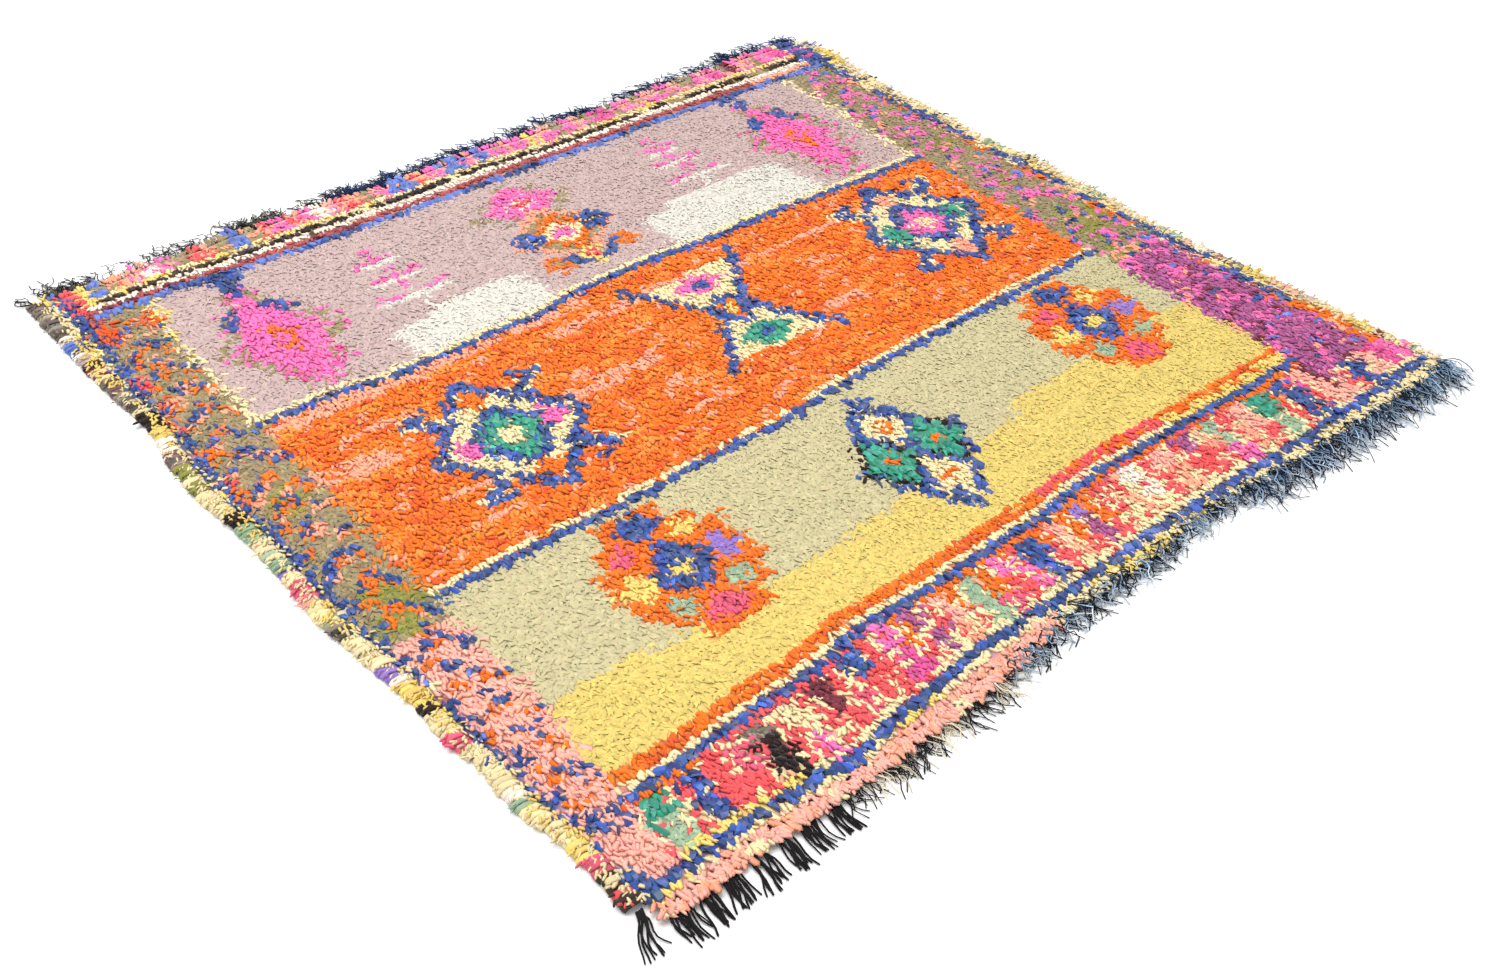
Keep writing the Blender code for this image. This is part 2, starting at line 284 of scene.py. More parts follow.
Guide = namedtuple("Guide", "row points")
GUIDES = {
    "hem": Guide(2, (
        (-0.80, -0.703), (-0.65, -0.700), (-0.60, -0.703), (-0.50, -0.710), (-0.45, -0.710),
        (-0.40, -0.700), (-0.30, -0.695), (-0.25, -0.688), (-0.20, -0.690), (-0.10, -0.695),
        (0.10, -0.692), (0.20, -0.697), (0.30, -0.700), (0.37, -0.707), (0.45, -0.711),
        (0.60, -0.714), (0.80, -0.716))),
    "border": Guide(13, (
        (-0.72, -0.592), (-0.66, -0.592), (-0.60, -0.590), (-0.55, -0.587), (-0.50, -0.585),
        (-0.45, -0.587), (-0.40, -0.582), (-0.33, -0.570), (-0.25, -0.574), (-0.20, -0.578),
        (-0.10, -0.576), (0.00, -0.577), (0.10, -0.570), (0.18, -0.567), (0.30, -0.574),
        (0.40, -0.578), (0.50, -0.586), (0.62, -0.588))),
    "orange": Guide(48, (
        (-0.72, -0.195), (-0.50, -0.197), (-0.45, -0.203), (-0.10, -0.203), (0.05, -0.190),
        (0.64, -0.188))),
    "mauve": Guide(87, (
        (-0.70, 0.245), (-0.55, 0.245), (-0.50, 0.232), (-0.20, 0.232), (-0.16, 0.245),
        (0.00, 0.248), (0.15, 0.238), (0.30, 0.238), (0.40, 0.230), (0.66, 0.222))),
    "far": Guide(121, (
        (-0.80, 0.628), (-0.62, 0.633), (-0.55, 0.625), (-0.45, 0.620), (-0.30, 0.616),
        (0.00, 0.617), (0.20, 0.615), (0.30, 0.617), (0.50, 0.614), (0.60, 0.612),
        (0.75, 0.608))),
    "butter": Guide(125, (
        (-0.74, 0.672), (-0.62, 0.680), (-0.50, 0.672), (-0.35, 0.675), (-0.20, 0.673),
        (0.00, 0.680), (0.10, 0.668), (0.20, 0.667), (0.35, 0.675), (0.50, 0.673),
        (0.70, 0.670)))}


def bend(value, stops, targets):
    """Carry values from one set of stops to another, evenly between neighbours."""
    out = targets[0] + np.minimum(value - stops[0], 0) + np.maximum(value - stops[-1], 0)
    for low, high, start, stop in zip(stops, stops[1:], targets, targets[1:]):
        out = out + np.clip((value - low) / (high - low), 0.0, 1.0) * (stop - start)
    return out


def loom_stops(x):
    """Heights of the rims and the guide rows, on the straight loom and on the rug."""
    across = x / RUG_WIDTH + 0.5
    straight, waving = [-LOOM_RIM], [end_y(-1, across, BAND_WIDTH + GAP)]
    for guide in GUIDES.values():
        straight.append(ROW_PITCH * (guide.row + ROW_START) - LOOM_RIM)
        waving.append(np.interp(x, *zip(*guide.points)) + FALL)
    return straight + [LOOM_RIM], waving + [end_y(1, across, BAND_WIDTH + GAP)]


def knot_places(across, loom):
    """Places in plan of knots, from shares of the width and heights on the loom."""
    along = np.clip(loom / RUG_LENGTH + 0.5, 0.0, 1.0)
    left = side_x(-1, along, SELVEDGE_WIDTH + GAP)
    right = side_x(1, along, SELVEDGE_WIDTH + GAP)
    x = left + (right - left) * across
    straight, waving = loom_stops(x)
    return x, bend(loom, straight, waving)


def row_numbers(x, y):
    """Number of the row that shows at each place."""
    straight, waving = loom_stops(x)
    loom = bend(y + FALL, waving, straight)
    return np.rint((loom + LOOM_RIM) / ROW_PITCH - ROW_START)


print("rows:", KNOT_ROWS, "of", KNOT_COLUMNS, "knots, pitch", round(ROW_PITCH * 1000, 1), "mm")

# %% [markdown]
# The design is kept as a chart, as a weaver keeps it in mind: fields first, then
# borders, then lines, and small motifs last, each laid over what came before. A chart
# holds the places of all knots and the number of the yarn in each. Its methods give
# masks: a box, whole rows, a stroke, a stepped lozenge, dashes along single rows and
# stray knots. The last two come from a formula, so a place always gets the same answer.

# %% Chart
def chance(first, second, salt):
    """A steady chance value from 0 to 1 for each pair of whole numbers."""
    mixed = np.sin(first * 127.1 + second * 311.7 + salt * 74.7) * 43758.5453
    return mixed - np.floor(mixed)


def upright_at(points, y):
    """Sideways place of a wandering upright line at each height."""
    ys, xs = zip(*sorted(points))
    return np.interp(y, ys, xs)


class Chart:
    """Yarn numbers of many places, painted layer by layer."""

    def __init__(self, x, y):
        self.x = x
        self.y = y
        self.row_number = row_numbers(x, y)
        self.column = np.floor(x / KNOT_PITCH)
        self.yarn = np.full(x.shape, YARN_NUMBER["cream"])

    def paint(self, name, mask):
        self.yarn[mask] = YARN_NUMBER[name]

    def box(self, left, right, low, high):
        return (self.x > left) & (self.x < right) & (self.y > low) & (self.y < high)

    def level(self, points):
        """Height of a wandering line at every place."""
        return np.interp(self.x, *zip(*points))

    def side(self, points):
        """Sideways place of a wandering upright line at every place."""
        return upright_at(points, self.y)

    def rows(self, guide, first, count=1):
        """Whole rows of knots, counted from a guide row."""
        number = self.row_number - GUIDES[guide].row
        return (number >= first) & (number < first + count)

    def dashes(self, reach, limit, salt):
        """Runs of knots along single rows, each row with runs of its own."""
        first = self.x / reach + 2 * math.pi * chance(self.row_number, 0.0, salt)
        second = 0.43 * self.x / reach + 2 * math.pi * chance(self.row_number, 1.0, salt)
        return np.sin(first) + np.sin(second) > limit

    def strays(self, share, salt):
        """Single knots strewn about, a share of all."""
        return chance(self.column, self.row_number, salt) < share

    def stroke(self, x0, y0, x1, y1, thick):
        """Places within half of thick of the segment from one point to another."""
        along_x, along_y = x1 - x0, y1 - y0
        length = along_x * along_x + along_y * along_y + 1e-12
        share = ((self.x - x0) * along_x + (self.y - y0) * along_y) / length
        share = np.clip(share, 0.0, 1.0)
        gap = np.hypot(self.x - x0 - share * along_x, self.y - y0 - share * along_y)
        return gap < thick / 2

    def line(self, name, start, stop, thick):
        """Paint one stroke between two points."""
        self.paint(name, self.stroke(*start, *stop, thick))

    def lozenge(self, x, y, half_width, half_height):
        """How far out each place lies in a lozenge: 0 in its middle, 1 on its rim."""
        return np.abs(self.x - x) / half_width + np.abs(self.y - y) / half_height

    def rings(self, x, y, half_width, half_height, *rings):
        """A lozenge of nested colours, from the outermost ring inwards."""
        out = self.lozenge(x, y, half_width, half_height)
        for reach, name in rings:
            self.paint(name, out < reach)


print("chart: masks ready")

# %% [markdown]
# The middle of the rug is four fields, one above the other: yellow, sage, orange, and
# mauve with a white foot. Their meeting lines step, because the weaver changed rags
# when one colour ran out. The orange rows are the liveliest: lighter, redder and
# salmon rags run along them in dashes.

# %% Fields
SAGE_FOOT = ((-0.72, -0.425), (-0.551, -0.425), (-0.549, -0.450), (-0.505, -0.450),
             (-0.503, -0.438), (-0.130, -0.438), (-0.120, -0.430), (-0.060, -0.430),
             (0.050, -0.411), (0.170, -0.409), (0.180, -0.382), (0.64, -0.379))
WHITE_TOP = ((-0.425, 0.20), (-0.424, 0.328), (-0.36, 0.330), (-0.355, 0.345), (-0.17, 0.347),
             (-0.168, 0.20), (0.085, 0.20), (0.087, 0.354), (0.155, 0.356), (0.165, 0.376),
             (0.405, 0.374), (0.42, 0.290), (0.435, 0.20))
FIELD_LEFT = ((0.62, -0.660), (0.55, -0.662), (0.54, -0.676), (0.27, -0.682), (0.24, -0.692),
              (0.00, -0.697), (-0.20, -0.703), (-0.45, -0.702), (-0.49, -0.714), (-0.60, -0.722))
FIELD_RIGHT = ((0.62, 0.664), (0.42, 0.660), (0.40, 0.648), (0.22, 0.640), (0.10, 0.634),
               (-0.60, 0.626))
SALMON_DASHES = ((-0.70, -0.55, 0.055, 0.100), (-0.65, -0.50, 0.132, 0.150),
                 (-0.25, 0.10, 0.165, 0.182), (-0.38, -0.115, 0.018, 0.043),
                 (-0.62, -0.50, -0.058, -0.040), (0.15, 0.27, -0.040, -0.022),
                 (0.05, 0.45, 0.140, 0.156), (0.25, 0.31, -0.100, -0.082),
                 (-0.22, -0.08, -0.110, -0.098), (0.52, 0.60, 0.045, 0.060),
                 (-0.56, -0.47, -0.128, -0.112), (0.20, 0.30, 0.072, 0.088),
                 (-0.66, -0.60, -0.010, 0.006), (0.33, 0.42, 0.190, 0.206),
                 (-0.20, -0.11, -0.056, -0.030), (-0.31, -0.23, 0.056, 0.080))


def paint_fields(chart):
    """The four fields. Returns the mask of all that lies between the side borders."""
    inside = (chart.x > chart.side(FIELD_LEFT)) & (chart.x < chart.side(FIELD_RIGHT))
    above = KNOT_ROWS
    chart.paint("yellow", inside & chart.rows("border", 2, above))
    chart.paint("sage", inside & (chart.y > chart.level(SAGE_FOOT)))
    orange = inside & chart.rows("orange", 1, above)
    chart.paint("orange", orange)
    chart.paint("apricot", orange & (chart.dashes(0.022, 1.05, 1) | chart.strays(0.10, 2)))
    chart.paint("rust", orange & (chart.dashes(0.017, 1.58, 3) | chart.strays(0.06, 4)))
    chart.paint("salmon", orange & (chart.dashes(0.013, 1.78, 5) | chart.strays(0.012, 6)))
    ragged = 0.040 * (chance(chart.row_number, 2.0, 7) - 0.5)
    for left, right, low, high in SALMON_DASHES:
        dash = chart.box(left, right, low, high) & chart.box(-0.7, 0.7, -0.2, 0.24)
        dash &= (chart.x > left + 0.02 + ragged) & (chart.x < right - 0.02 + ragged)
        chart.paint("salmon", orange & dash & ~chart.strays(0.14, 8))
    chart.paint("salmon", orange & chart.box(-0.72, -0.12, 0.203, 0.26)
                & (chart.x < -0.14 - ragged) & ~chart.strays(0.10, 9))
    mauve = inside & chart.rows("mauve", 1, above)
    chart.paint("mauve", mauve)
    chart.paint("white", mauve & (chart.y < chart.level(WHITE_TOP)))
    return inside


print("fields: yellow, sage, orange, mauve over white")

# %% [markdown]
# Long borders frame the fields. The left and right ones are khaki, and lower down they
# change to salmon and to purple. Open chevrons nest along them, point up. A weaver
# makes each arm by counting knots sideways from row to row, two or three knots of one
# rag and one or two of another beside them, so an arm is a chain of small dabs.

# %% Side borders
LEFT_BORDER_OUT = ((0.62, -0.765), (0.50, -0.772), (0.35, -0.779), (0.20, -0.790), (-0.72, -0.792))
RIGHT_BORDER_OUT = ((0.62, 0.768), (0.30, 0.766), (-0.20, 0.762), (-0.48, 0.764), (-0.52, 0.778),
                    (-0.64, 0.780))
SALMON_TOP = -0.232
PURPLE_TOP = -0.242
# A run of chevrons: from top to foot, one for each pitch. Their arms fall by drop from a
# peak at a share of the border's width, in dabs of a core rag and a trim rag beside it.
Chain = namedtuple("Chain", "top foot pitch drop peak core trim core_size trim_size gap")
LEFT_CHAINS = (Chain(0.590, -0.195, 0.063, 0.052, 0.50, "cobalt", "orange", 0.0048, 0.0056, 0.008),
               Chain(-0.238, -0.560, 0.066, 0.054, 0.50, "cobalt", "orange", 0.0048, 0.0056, 0.008))
RIGHT_CHAINS = (Chain(0.600, -0.190, 0.095, 0.088, 0.56, "iris", "pink", 0.0034, 0.0150, 0.002),
                Chain(-0.205, -0.600, 0.092, 0.084, 0.50, "iris", "pink", 0.0026, 0.0140, 0.002))
CHAIN_SHARES = (0.06, 0.36, 0.66, 0.92)
DAB_SLANT = 0.62
TRIM_THICK = 0.0086
TRIM_DROP = 0.004
TRIM_KEPT = 0.88
CORE_THICK = 0.0088
CORE_SKIPPED = 0.16
FOOT_RING = ((-0.769, -0.586, -0.763, -0.612, 0.016), (-0.745, -0.588, -0.741, -0.600, 0.010),
             (-0.728, -0.610, -0.752, -0.632, 0.010))
BORDER_PATCHES = ((-0.755, 0.575, 0.026, "rust"), (-0.683, 0.572, 0.024, "rust"),
                  (-0.760, 0.365, 0.020, "rust"),
                  (-0.745, 0.078, 0.034, "olive"), (-0.745, -0.145, 0.040, "olive"),
                  (-0.750, -0.200, 0.044, "olive"), (-0.725, -0.192, 0.030, "olive"),
                  (0.700, -0.070, 0.026, "olive"), (0.705, -0.150, 0.046, "olive"),
                  (0.745, -0.100, 0.026, "olive"), (0.660, -0.120, 0.020, "olive"),
                  (0.670, -0.215, 0.034, "olive"), (0.750, -0.215, 0.024, "olive"),
                  (0.710, 0.235, 0.030, "olive"), (0.700, 0.060, 0.024, "olive"))


def lay_dab(chart, name, x, y, hand, half, thick):
    """Short slanting dab of one rag, half of it on each side of its place."""
    aside = hand * DAB_SLANT * half
    chart.paint(name, chart.stroke(x - aside, y + half, x + aside, y - half, thick))


def lay_chain(chart, nudges, inner, outer, chain):
    """Nested chevrons, each arm a chain of dabs with another rag beside them."""
    for top in np.arange(chain.top, chain.foot, -chain.pitch):
        low, high = sorted((upright_at(inner, top - 0.03), upright_at(outer, top - 0.03)))
        middle = low + (high - low) * chain.peak + nudges.normal(0, 0.004)
        for hand, reach in ((-1, middle - low), (1, high - middle)):
            for share in CHAIN_SHARES:
                x = middle + hand * (reach - 0.004) * share + nudges.normal(0, 0.0016)
                y = top - chain.drop * share + nudges.normal(0, 0.0030)
                kept = nudges.random()
                half = chain.trim_size * nudges.uniform(0.6, 1.2)
                if kept < TRIM_KEPT:
                    trim = chain.trim if nudges.random() < 0.68 else "salmon"
                    beside = x - hand * chain.gap
                    lay_dab(chart, trim, beside, y - TRIM_DROP, hand, half, TRIM_THICK)
                half = chain.core_size * nudges.uniform(0.6, 1.4)
                if kept > CORE_SKIPPED:
                    core = "cobalt" if nudges.random() < 0.5 else chain.core
                    lay_dab(chart, core, x, y, hand, half, CORE_THICK)


def paint_side_borders(chart):
    """Khaki, salmon and purple grounds with their chevrons, patches and stray knots."""
    nudges = np.random.default_rng(7)
    left_in = chart.side(FIELD_LEFT) - np.where(chart.y > 0.255, 0.012, 0.0)
    left = (chart.x > chart.side(LEFT_BORDER_OUT)) & (chart.x < left_in)
    left &= chart.rows("hem", 1, 118)
    right = (chart.x < chart.side(RIGHT_BORDER_OUT)) & (chart.x > chart.side(FIELD_RIGHT))
    right &= chart.rows("hem", 7, 112)
    chart.paint("khaki", left | right)
    for x, y, size, name in BORDER_PATCHES:
        chart.rings(x, y, size, size * 1.1, (1.0, name))
    before = chart.yarn.copy()
    chart.paint("blush", left & (chart.y < SALMON_TOP))
    chart.paint("purple", right & (chart.y < PURPLE_TOP))
    for chain in LEFT_CHAINS:
        lay_chain(chart, nudges, FIELD_LEFT, LEFT_BORDER_OUT, chain)
    for chain in RIGHT_CHAINS:
        lay_chain(chart, nudges, FIELD_RIGHT, RIGHT_BORDER_OUT, chain)
    for x0, y0, x1, y1, thick in FOOT_RING:
        chart.paint("cobalt", chart.stroke(x0, y0, x1, y1, thick))
    chart.paint("orange", chart.stroke(-0.764, -0.572, -0.752, -0.566, 0.009))
    chart.paint("khaki", right & (chart.y > 0.0) & chart.strays(0.10, 11))
    chart.paint("pink", right & chart.strays(0.07, 12))
    chart.paint("maroon", right & (chart.y < PURPLE_TOP) & chart.strays(0.07, 13))
    chart.paint("salmon", left & (chart.y > 0.06) & chart.strays(0.03, 14))
    outside = ~(left | right)
    chart.yarn[outside] = before[outside]


print("side borders:", len(LEFT_CHAINS) + len(RIGHT_CHAINS), "runs of chevrons")

# %% [markdown]
# The near border is a row of blocks, each a column of one or two rags with cream ends
# between them. The far border is a strip of short blocks over five lines. Tables with
# the right edge of each block and its colours keep them easy to change.

# %% End borders
NEAR_BLOCKS = (
    (-0.722, "blush", "coral"), (-0.684, "teal", "mint"), (-0.664, "coral", "coral"),
    (-0.636, "blue", "blue"), (-0.600, "coral", "coral"), (-0.566, "rose", "coral"),
    (-0.522, "tweed", "black"), (-0.502, "coral", "coral"), (-0.472, "cream", "pink"),
    (-0.456, "coral", "coral"), (-0.420, "maroon", "coral"), (-0.396, "coral", "rose"),
    (-0.362, "blue", "coral"), (-0.336, "coral", "coral"), (-0.296, "pink", "magenta"),
    (-0.275, "orange", "coral"), (-0.248, "purple", "purple"), (-0.234, "coral", "coral"),
    (-0.206, "blush", "salmon"), (-0.186, "orange", "coral"), (-0.150, "mint", "mint"),
    (-0.122, "orange", "rose"), (-0.092, "pink", "coral"), (-0.066, "coral", "pink"),
    (-0.034, "blue", "blue"), (-0.004, "orange", "coral"), (0.020, "blush", "salmon"),
    (0.050, "orange", "coral"), (0.076, "lavender", "purple"), (0.106, "orange", "coral"),
    (0.140, "coral", "coral"), (0.166, "coral", "salmon"), (0.206, "ivory", "cream"),
    (0.236, "coral", "coral"), (0.274, "blush", "salmon"), (0.292, "coral", "coral"),
    (0.330, "purple", "coral"), (0.354, "salmon", "coral"), (0.390, "mint", "pink"),
    (0.424, "coral", "salmon"), (0.462, "blush", "coral"), (0.500, "teal", "mint"),
    (0.530, "orange", "coral"), (0.566, "blue", "blue"), (0.590, "magenta", "coral"),
    (0.626, "blush", "blush"), (0.652, "salmon", "blush"), (0.672, "coral", "coral"),
    (0.704, "blue", "blue"), (0.744, "butter", "blush"), (0.774, "orange", "magenta"),
    (0.900, "blush", "pink"))
FAR_BLOCKS = (
    (-0.742, "coral"), (-0.727, "butter"), (-0.709, "blue"), (-0.685, "khaki"), (-0.656, "coral"),
    (-0.632, "pink"), (-0.610, "ivory"), (-0.588, "pink"), (-0.556, "khaki"), (-0.518, "coral"),
    (-0.485, "khaki"), (-0.458, "blue"), (-0.434, "khaki"), (-0.408, "coral"), (-0.380, "pink"),
    (-0.354, "coral"), (-0.331, "pink"), (-0.307, "ivory"), (-0.280, "pink"), (-0.245, "coral"),
    (-0.214, "khaki"), (-0.182, "pink"), (-0.140, "blue"), (-0.106, "coral"), (-0.074, "pink"),
    (-0.038, "blue"), (-0.008, "pink"), (0.016, "blue"), (0.034, "pink"), (0.054, "khaki"),
    (0.080, "pink"), (0.106, "khaki"), (0.130, "butter"), (0.160, "pink"), (0.195, "khaki"),
    (0.228, "pink"), (0.262, "khaki"), (0.292, "magenta"), (0.325, "khaki"), (0.360, "pink"),
    (0.395, "khaki"), (0.425, "pink"), (0.452, "khaki"), (0.485, "pink"), (0.520, "khaki"),
    (0.552, "pink"), (0.578, "magenta"), (0.600, "khaki"), (0.622, "maroon"), (0.655, "pink"),
    (0.688, "khaki"), (0.718, "pink"), (0.748, "magenta"), (0.900, "cream"))


def block_numbers(chart, blocks, wander):
    """Number of the block at every place, the blocks' edges, and how far they shift
    from row to row."""
    edges = np.array([block[0] for block in blocks[:-1]])
    shift = wander * (chance(chart.row_number, np.floor(chart.x / 0.05), 17) - 0.5)
    return np.searchsorted(edges, chart.x + shift), edges, shift


def paint_near_border(chart):
    """Blocks of two rags, an orange row over them and a cream one under them."""
    strip = chart.rows("hem", 1, 10) & (chart.x > chart.side(FIELD_LEFT) - 0.006)
    strip &= (chart.x < 0.632) | chart.rows("hem", 1, 6)
    number, edges, shift = block_numbers(chart, NEAR_BLOCKS, 0.010)
    split = 6 + np.rint(1.6 * np.sin(number * 2.3))
    upper = chart.row_number - GUIDES["hem"].row >= split
    upper &= chart.x < 0.66
    for index, block in enumerate(NEAR_BLOCKS):
        chart.paint(block[1], strip & (number == index) & upper)
        chart.paint(block[2], strip & (number == index) & ~upper)
    to_edge = np.abs(chart.x[..., None] + shift[..., None] - edges).min(axis=-1)
    chart.paint("salmon", strip & (to_edge < 0.006) & chart.strays(0.07, 21))
    chart.paint("cream", strip & (to_edge < 0.0050) & chart.strays(0.62, 22))
    chart.paint("coral", strip & chart.strays(0.025, 23))
    chart.rings(0.123, -0.640, 0.024, 0.040, (1.0, "cream"), (0.50, "coral"))
    top = strip & chart.rows("border", -1)
    chart.paint("orange", top & (chart.x < -0.62))
    chart.paint("coral", top & (chart.x > -0.60) & (chart.x < -0.33))
    chart.paint("orange", top & (chart.x > -0.26) & ~chart.strays(0.12, 24))
    chart.paint("coral", top & (chart.x > 0.20) & (chart.x < 0.42) & chart.strays(0.65, 30))
    chart.paint("rust", top & chart.strays(0.14, 25))
    foot = strip & chart.rows("hem", 1) & ~chart.strays(0.24, 26)
    chart.paint("cream", foot)
    chart.paint("butter", foot & (chart.x < -0.54))
    chart.paint("maroon", chart.box(0.612, 0.632, -0.676, -0.600) & chart.strays(0.55, 27))
    chart.paint("purple", chart.box(0.628, 0.652, -0.662, -0.636) & chart.strays(0.70, 28))


def paint_far_border(chart):
    """Short blocks above, and the blue, brick, ivory, brown and butter lines below."""
    number = block_numbers(chart, FAR_BLOCKS, 0.008)[0]
    strip = chart.rows("butter", 1, 20) & (chart.x > -0.80)
    for index, block in enumerate(FAR_BLOCKS):
        chart.paint(block[1], strip & (number == index))
    chart.paint("salmon", strip & (chart.yarn == YARN_NUMBER["coral"]) & chart.strays(0.58, 31))
    chart.paint("pink", strip & (chart.yarn == YARN_NUMBER["khaki"]) & (chart.x > 0.0)
                & chart.strays(0.40, 29))
    chart.paint("periwinkle", strip & (chart.yarn == YARN_NUMBER["blue"]))
    chart.paint("blush", strip & (chart.yarn == YARN_NUMBER["pink"]) & chart.strays(0.30, 32))
    chart.paint("salmon", strip & chart.strays(0.07, 39))
    lines = (chart.x > -0.742) & (chart.x < 0.760)
    chart.paint("periwinkle", lines & chart.rows("far", 0))
    chart.paint("blue", lines & chart.rows("far", 0) & chart.dashes(0.020, 0.3, 33))
    chart.paint("brick", lines & chart.rows("far", 1))
    chart.paint("maroon", lines & chart.rows("far", 1) & (chart.x < -0.30)
                & chart.strays(0.35, 34))
    chart.paint("salmon", lines & chart.rows("far", 1) & (chart.x > 0.60))
    chart.paint("ivory", lines & chart.rows("far", 2))
    dark = lines & chart.rows("far", 3)
    chart.paint("brown", dark)
    chart.paint("black", dark & chart.strays(0.45, 35))
    chart.paint("khaki", dark & (chart.x > 0.28) & chart.dashes(0.016, 0.5, 36))
    chart.paint("cream", dark & chart.dashes(0.014, 1.6, 37))
    chart.paint("butter", lines & chart.rows("butter", 0))
    chart.paint("cream", lines & chart.rows("butter", 0) & chart.strays(0.60, 38))
    chart.paint("blue", chart.box(-0.575, -0.518, 0.598, 0.628))
    chart.paint("blue", chart.box(0.488, 0.517, 0.594, 0.615))
    chart.paint("brick", chart.box(-0.765, -0.742, 0.600, 0.650))
    chart.paint("coral", chart.box(-0.765, -0.742, 0.650, 0.720))
    chart.paint("butter", chart.box(-0.742, -0.724, 0.655, 0.712))
    chart.paint("blue", chart.box(0.752, 0.796, 0.618, 0.724))
    chart.paint("magenta", chart.box(0.764, 0.786, 0.640, 0.664))
    chart.paint("magenta", chart.box(0.766, 0.788, 0.684, 0.700))


def paint_lines(chart, inside):
    """Lines between the fields, and the cream uprights beside the mauve one."""
    field = (chart.x > chart.side(FIELD_LEFT)) & (chart.x < 0.630)
    chart.paint("orange", inside & chart.rows("border", 2))
    chart.paint("orange", inside & chart.rows("border", 3) & ~chart.strays(0.05, 41))
    middle = chart.box(0.05, 0.33, -0.60, -0.50)
    chart.paint("coral", chart.rows("border", 2, 2) & middle & ~chart.strays(0.35, 42))
    chart.paint("rust", inside & chart.rows("border", 2, 2) & (chart.x < 0.63)
                & (chart.yarn == YARN_NUMBER["orange"]) & chart.strays(0.22, 43))
    chart.paint("cream", field & chart.rows("border", 1))
    right_part = field & (chart.x > 0.33)
    chart.paint("butter", right_part & chart.rows("border", 1))
    chart.paint("butter", right_part & chart.rows("border", 2) & chart.strays(0.62, 56))
    chart.paint("blue", field & chart.rows("border", 0))
    chart.paint("blue", field & chart.rows("border", -1) & chart.dashes(0.026, 0.75, 44))
    chart.paint("cream", inside & chart.rows("orange", 1) & ~chart.strays(0.16, 45))
    chart.paint("blue", inside & chart.rows("orange", 0))
    chart.paint("cream", inside & chart.rows("mauve", 1))
    chart.paint("blue", inside & chart.rows("mauve", 0))
    left_line, right_line = chart.side(FIELD_LEFT), chart.side(FIELD_RIGHT)
    upright = (chart.x > left_line - 0.012) & (chart.x < left_line) & (chart.y > 0.252)
    upright &= chart.rows("far", -60, 60)
    chart.paint("cream", upright)
    chart.paint("butter", upright & (chart.y > 0.44) & ~chart.strays(0.35, 46))
    upright = (chart.x > right_line - 0.011) & (chart.x < right_line) & (chart.y > 0.24)
    chart.paint("cream", upright & chart.rows("far", -60, 60) & ~chart.strays(0.15, 47))


def paint_hem(chart):
    """Blue line along the near end, with the soft roll and the cream rows outside it."""
    chart.paint("cream", chart.rows("hem", -1))
    chart.paint("butter", chart.rows("hem", -1) & chart.dashes(0.030, 0.9, 51) & (chart.x < 0.30))
    outer = chart.rows("hem", -30, 29)
    chart.paint("cream", outer)
    chart.paint("blush", outer & (chart.x < -0.12) & ~chart.strays(0.06, 52))
    chart.paint("salmon", outer & (chart.x < -0.12) & chart.strays(0.30, 53))
    warm = chart.box(0.03, 0.13, -0.8, -0.6) | chart.box(0.19, 0.23, -0.8, -0.6)
    chart.paint("butter", outer & warm)
    blue = chart.rows("hem", 0) & (chart.x > -0.785)
    chart.paint("blue", blue)
    cool = chart.box(0.03, 0.13, -0.8, -0.6) | chart.box(0.33, 0.40, -0.8, -0.6)
    chart.paint("periwinkle", blue & cool & chart.strays(0.6, 54))
    corner = chart.box(-0.84, -0.784, -0.73, -0.655)
    chart.paint("cream", corner)
    chart.paint("butter", corner & chart.strays(0.55, 55))
    chart.paint("blue", chart.stroke(-0.806, -0.655, -0.792, -0.656, 0.015))
    chart.paint("blue", chart.stroke(-0.792, -0.656, -0.774, -0.694, 0.017))


print("near border:", len(NEAR_BLOCKS), "blocks, far border:", len(FAR_BLOCKS), "blocks")

# %% [markdown]
# Guard stripes run up both sides: blue inside, yellow and cream outside, with a thin
# orange or coral line on the inner side. They lean outwards as the rug widens.

# %% Guard stripes
LEFT_GUARD = ((0.74, -0.771), (0.60, -0.771), (0.50, -0.779), (0.35, -0.786), (0.20, -0.796),
              (0.00, -0.798), (-0.20, -0.799), (-0.40, -0.795), (-0.72, -0.791))
RIGHT_GUARD = ((0.70, 0.776), (0.20, 0.776), (-0.30, 0.774), (-0.48, 0.776), (-0.64, 0.792))
GUARD_HALF = 0.0078


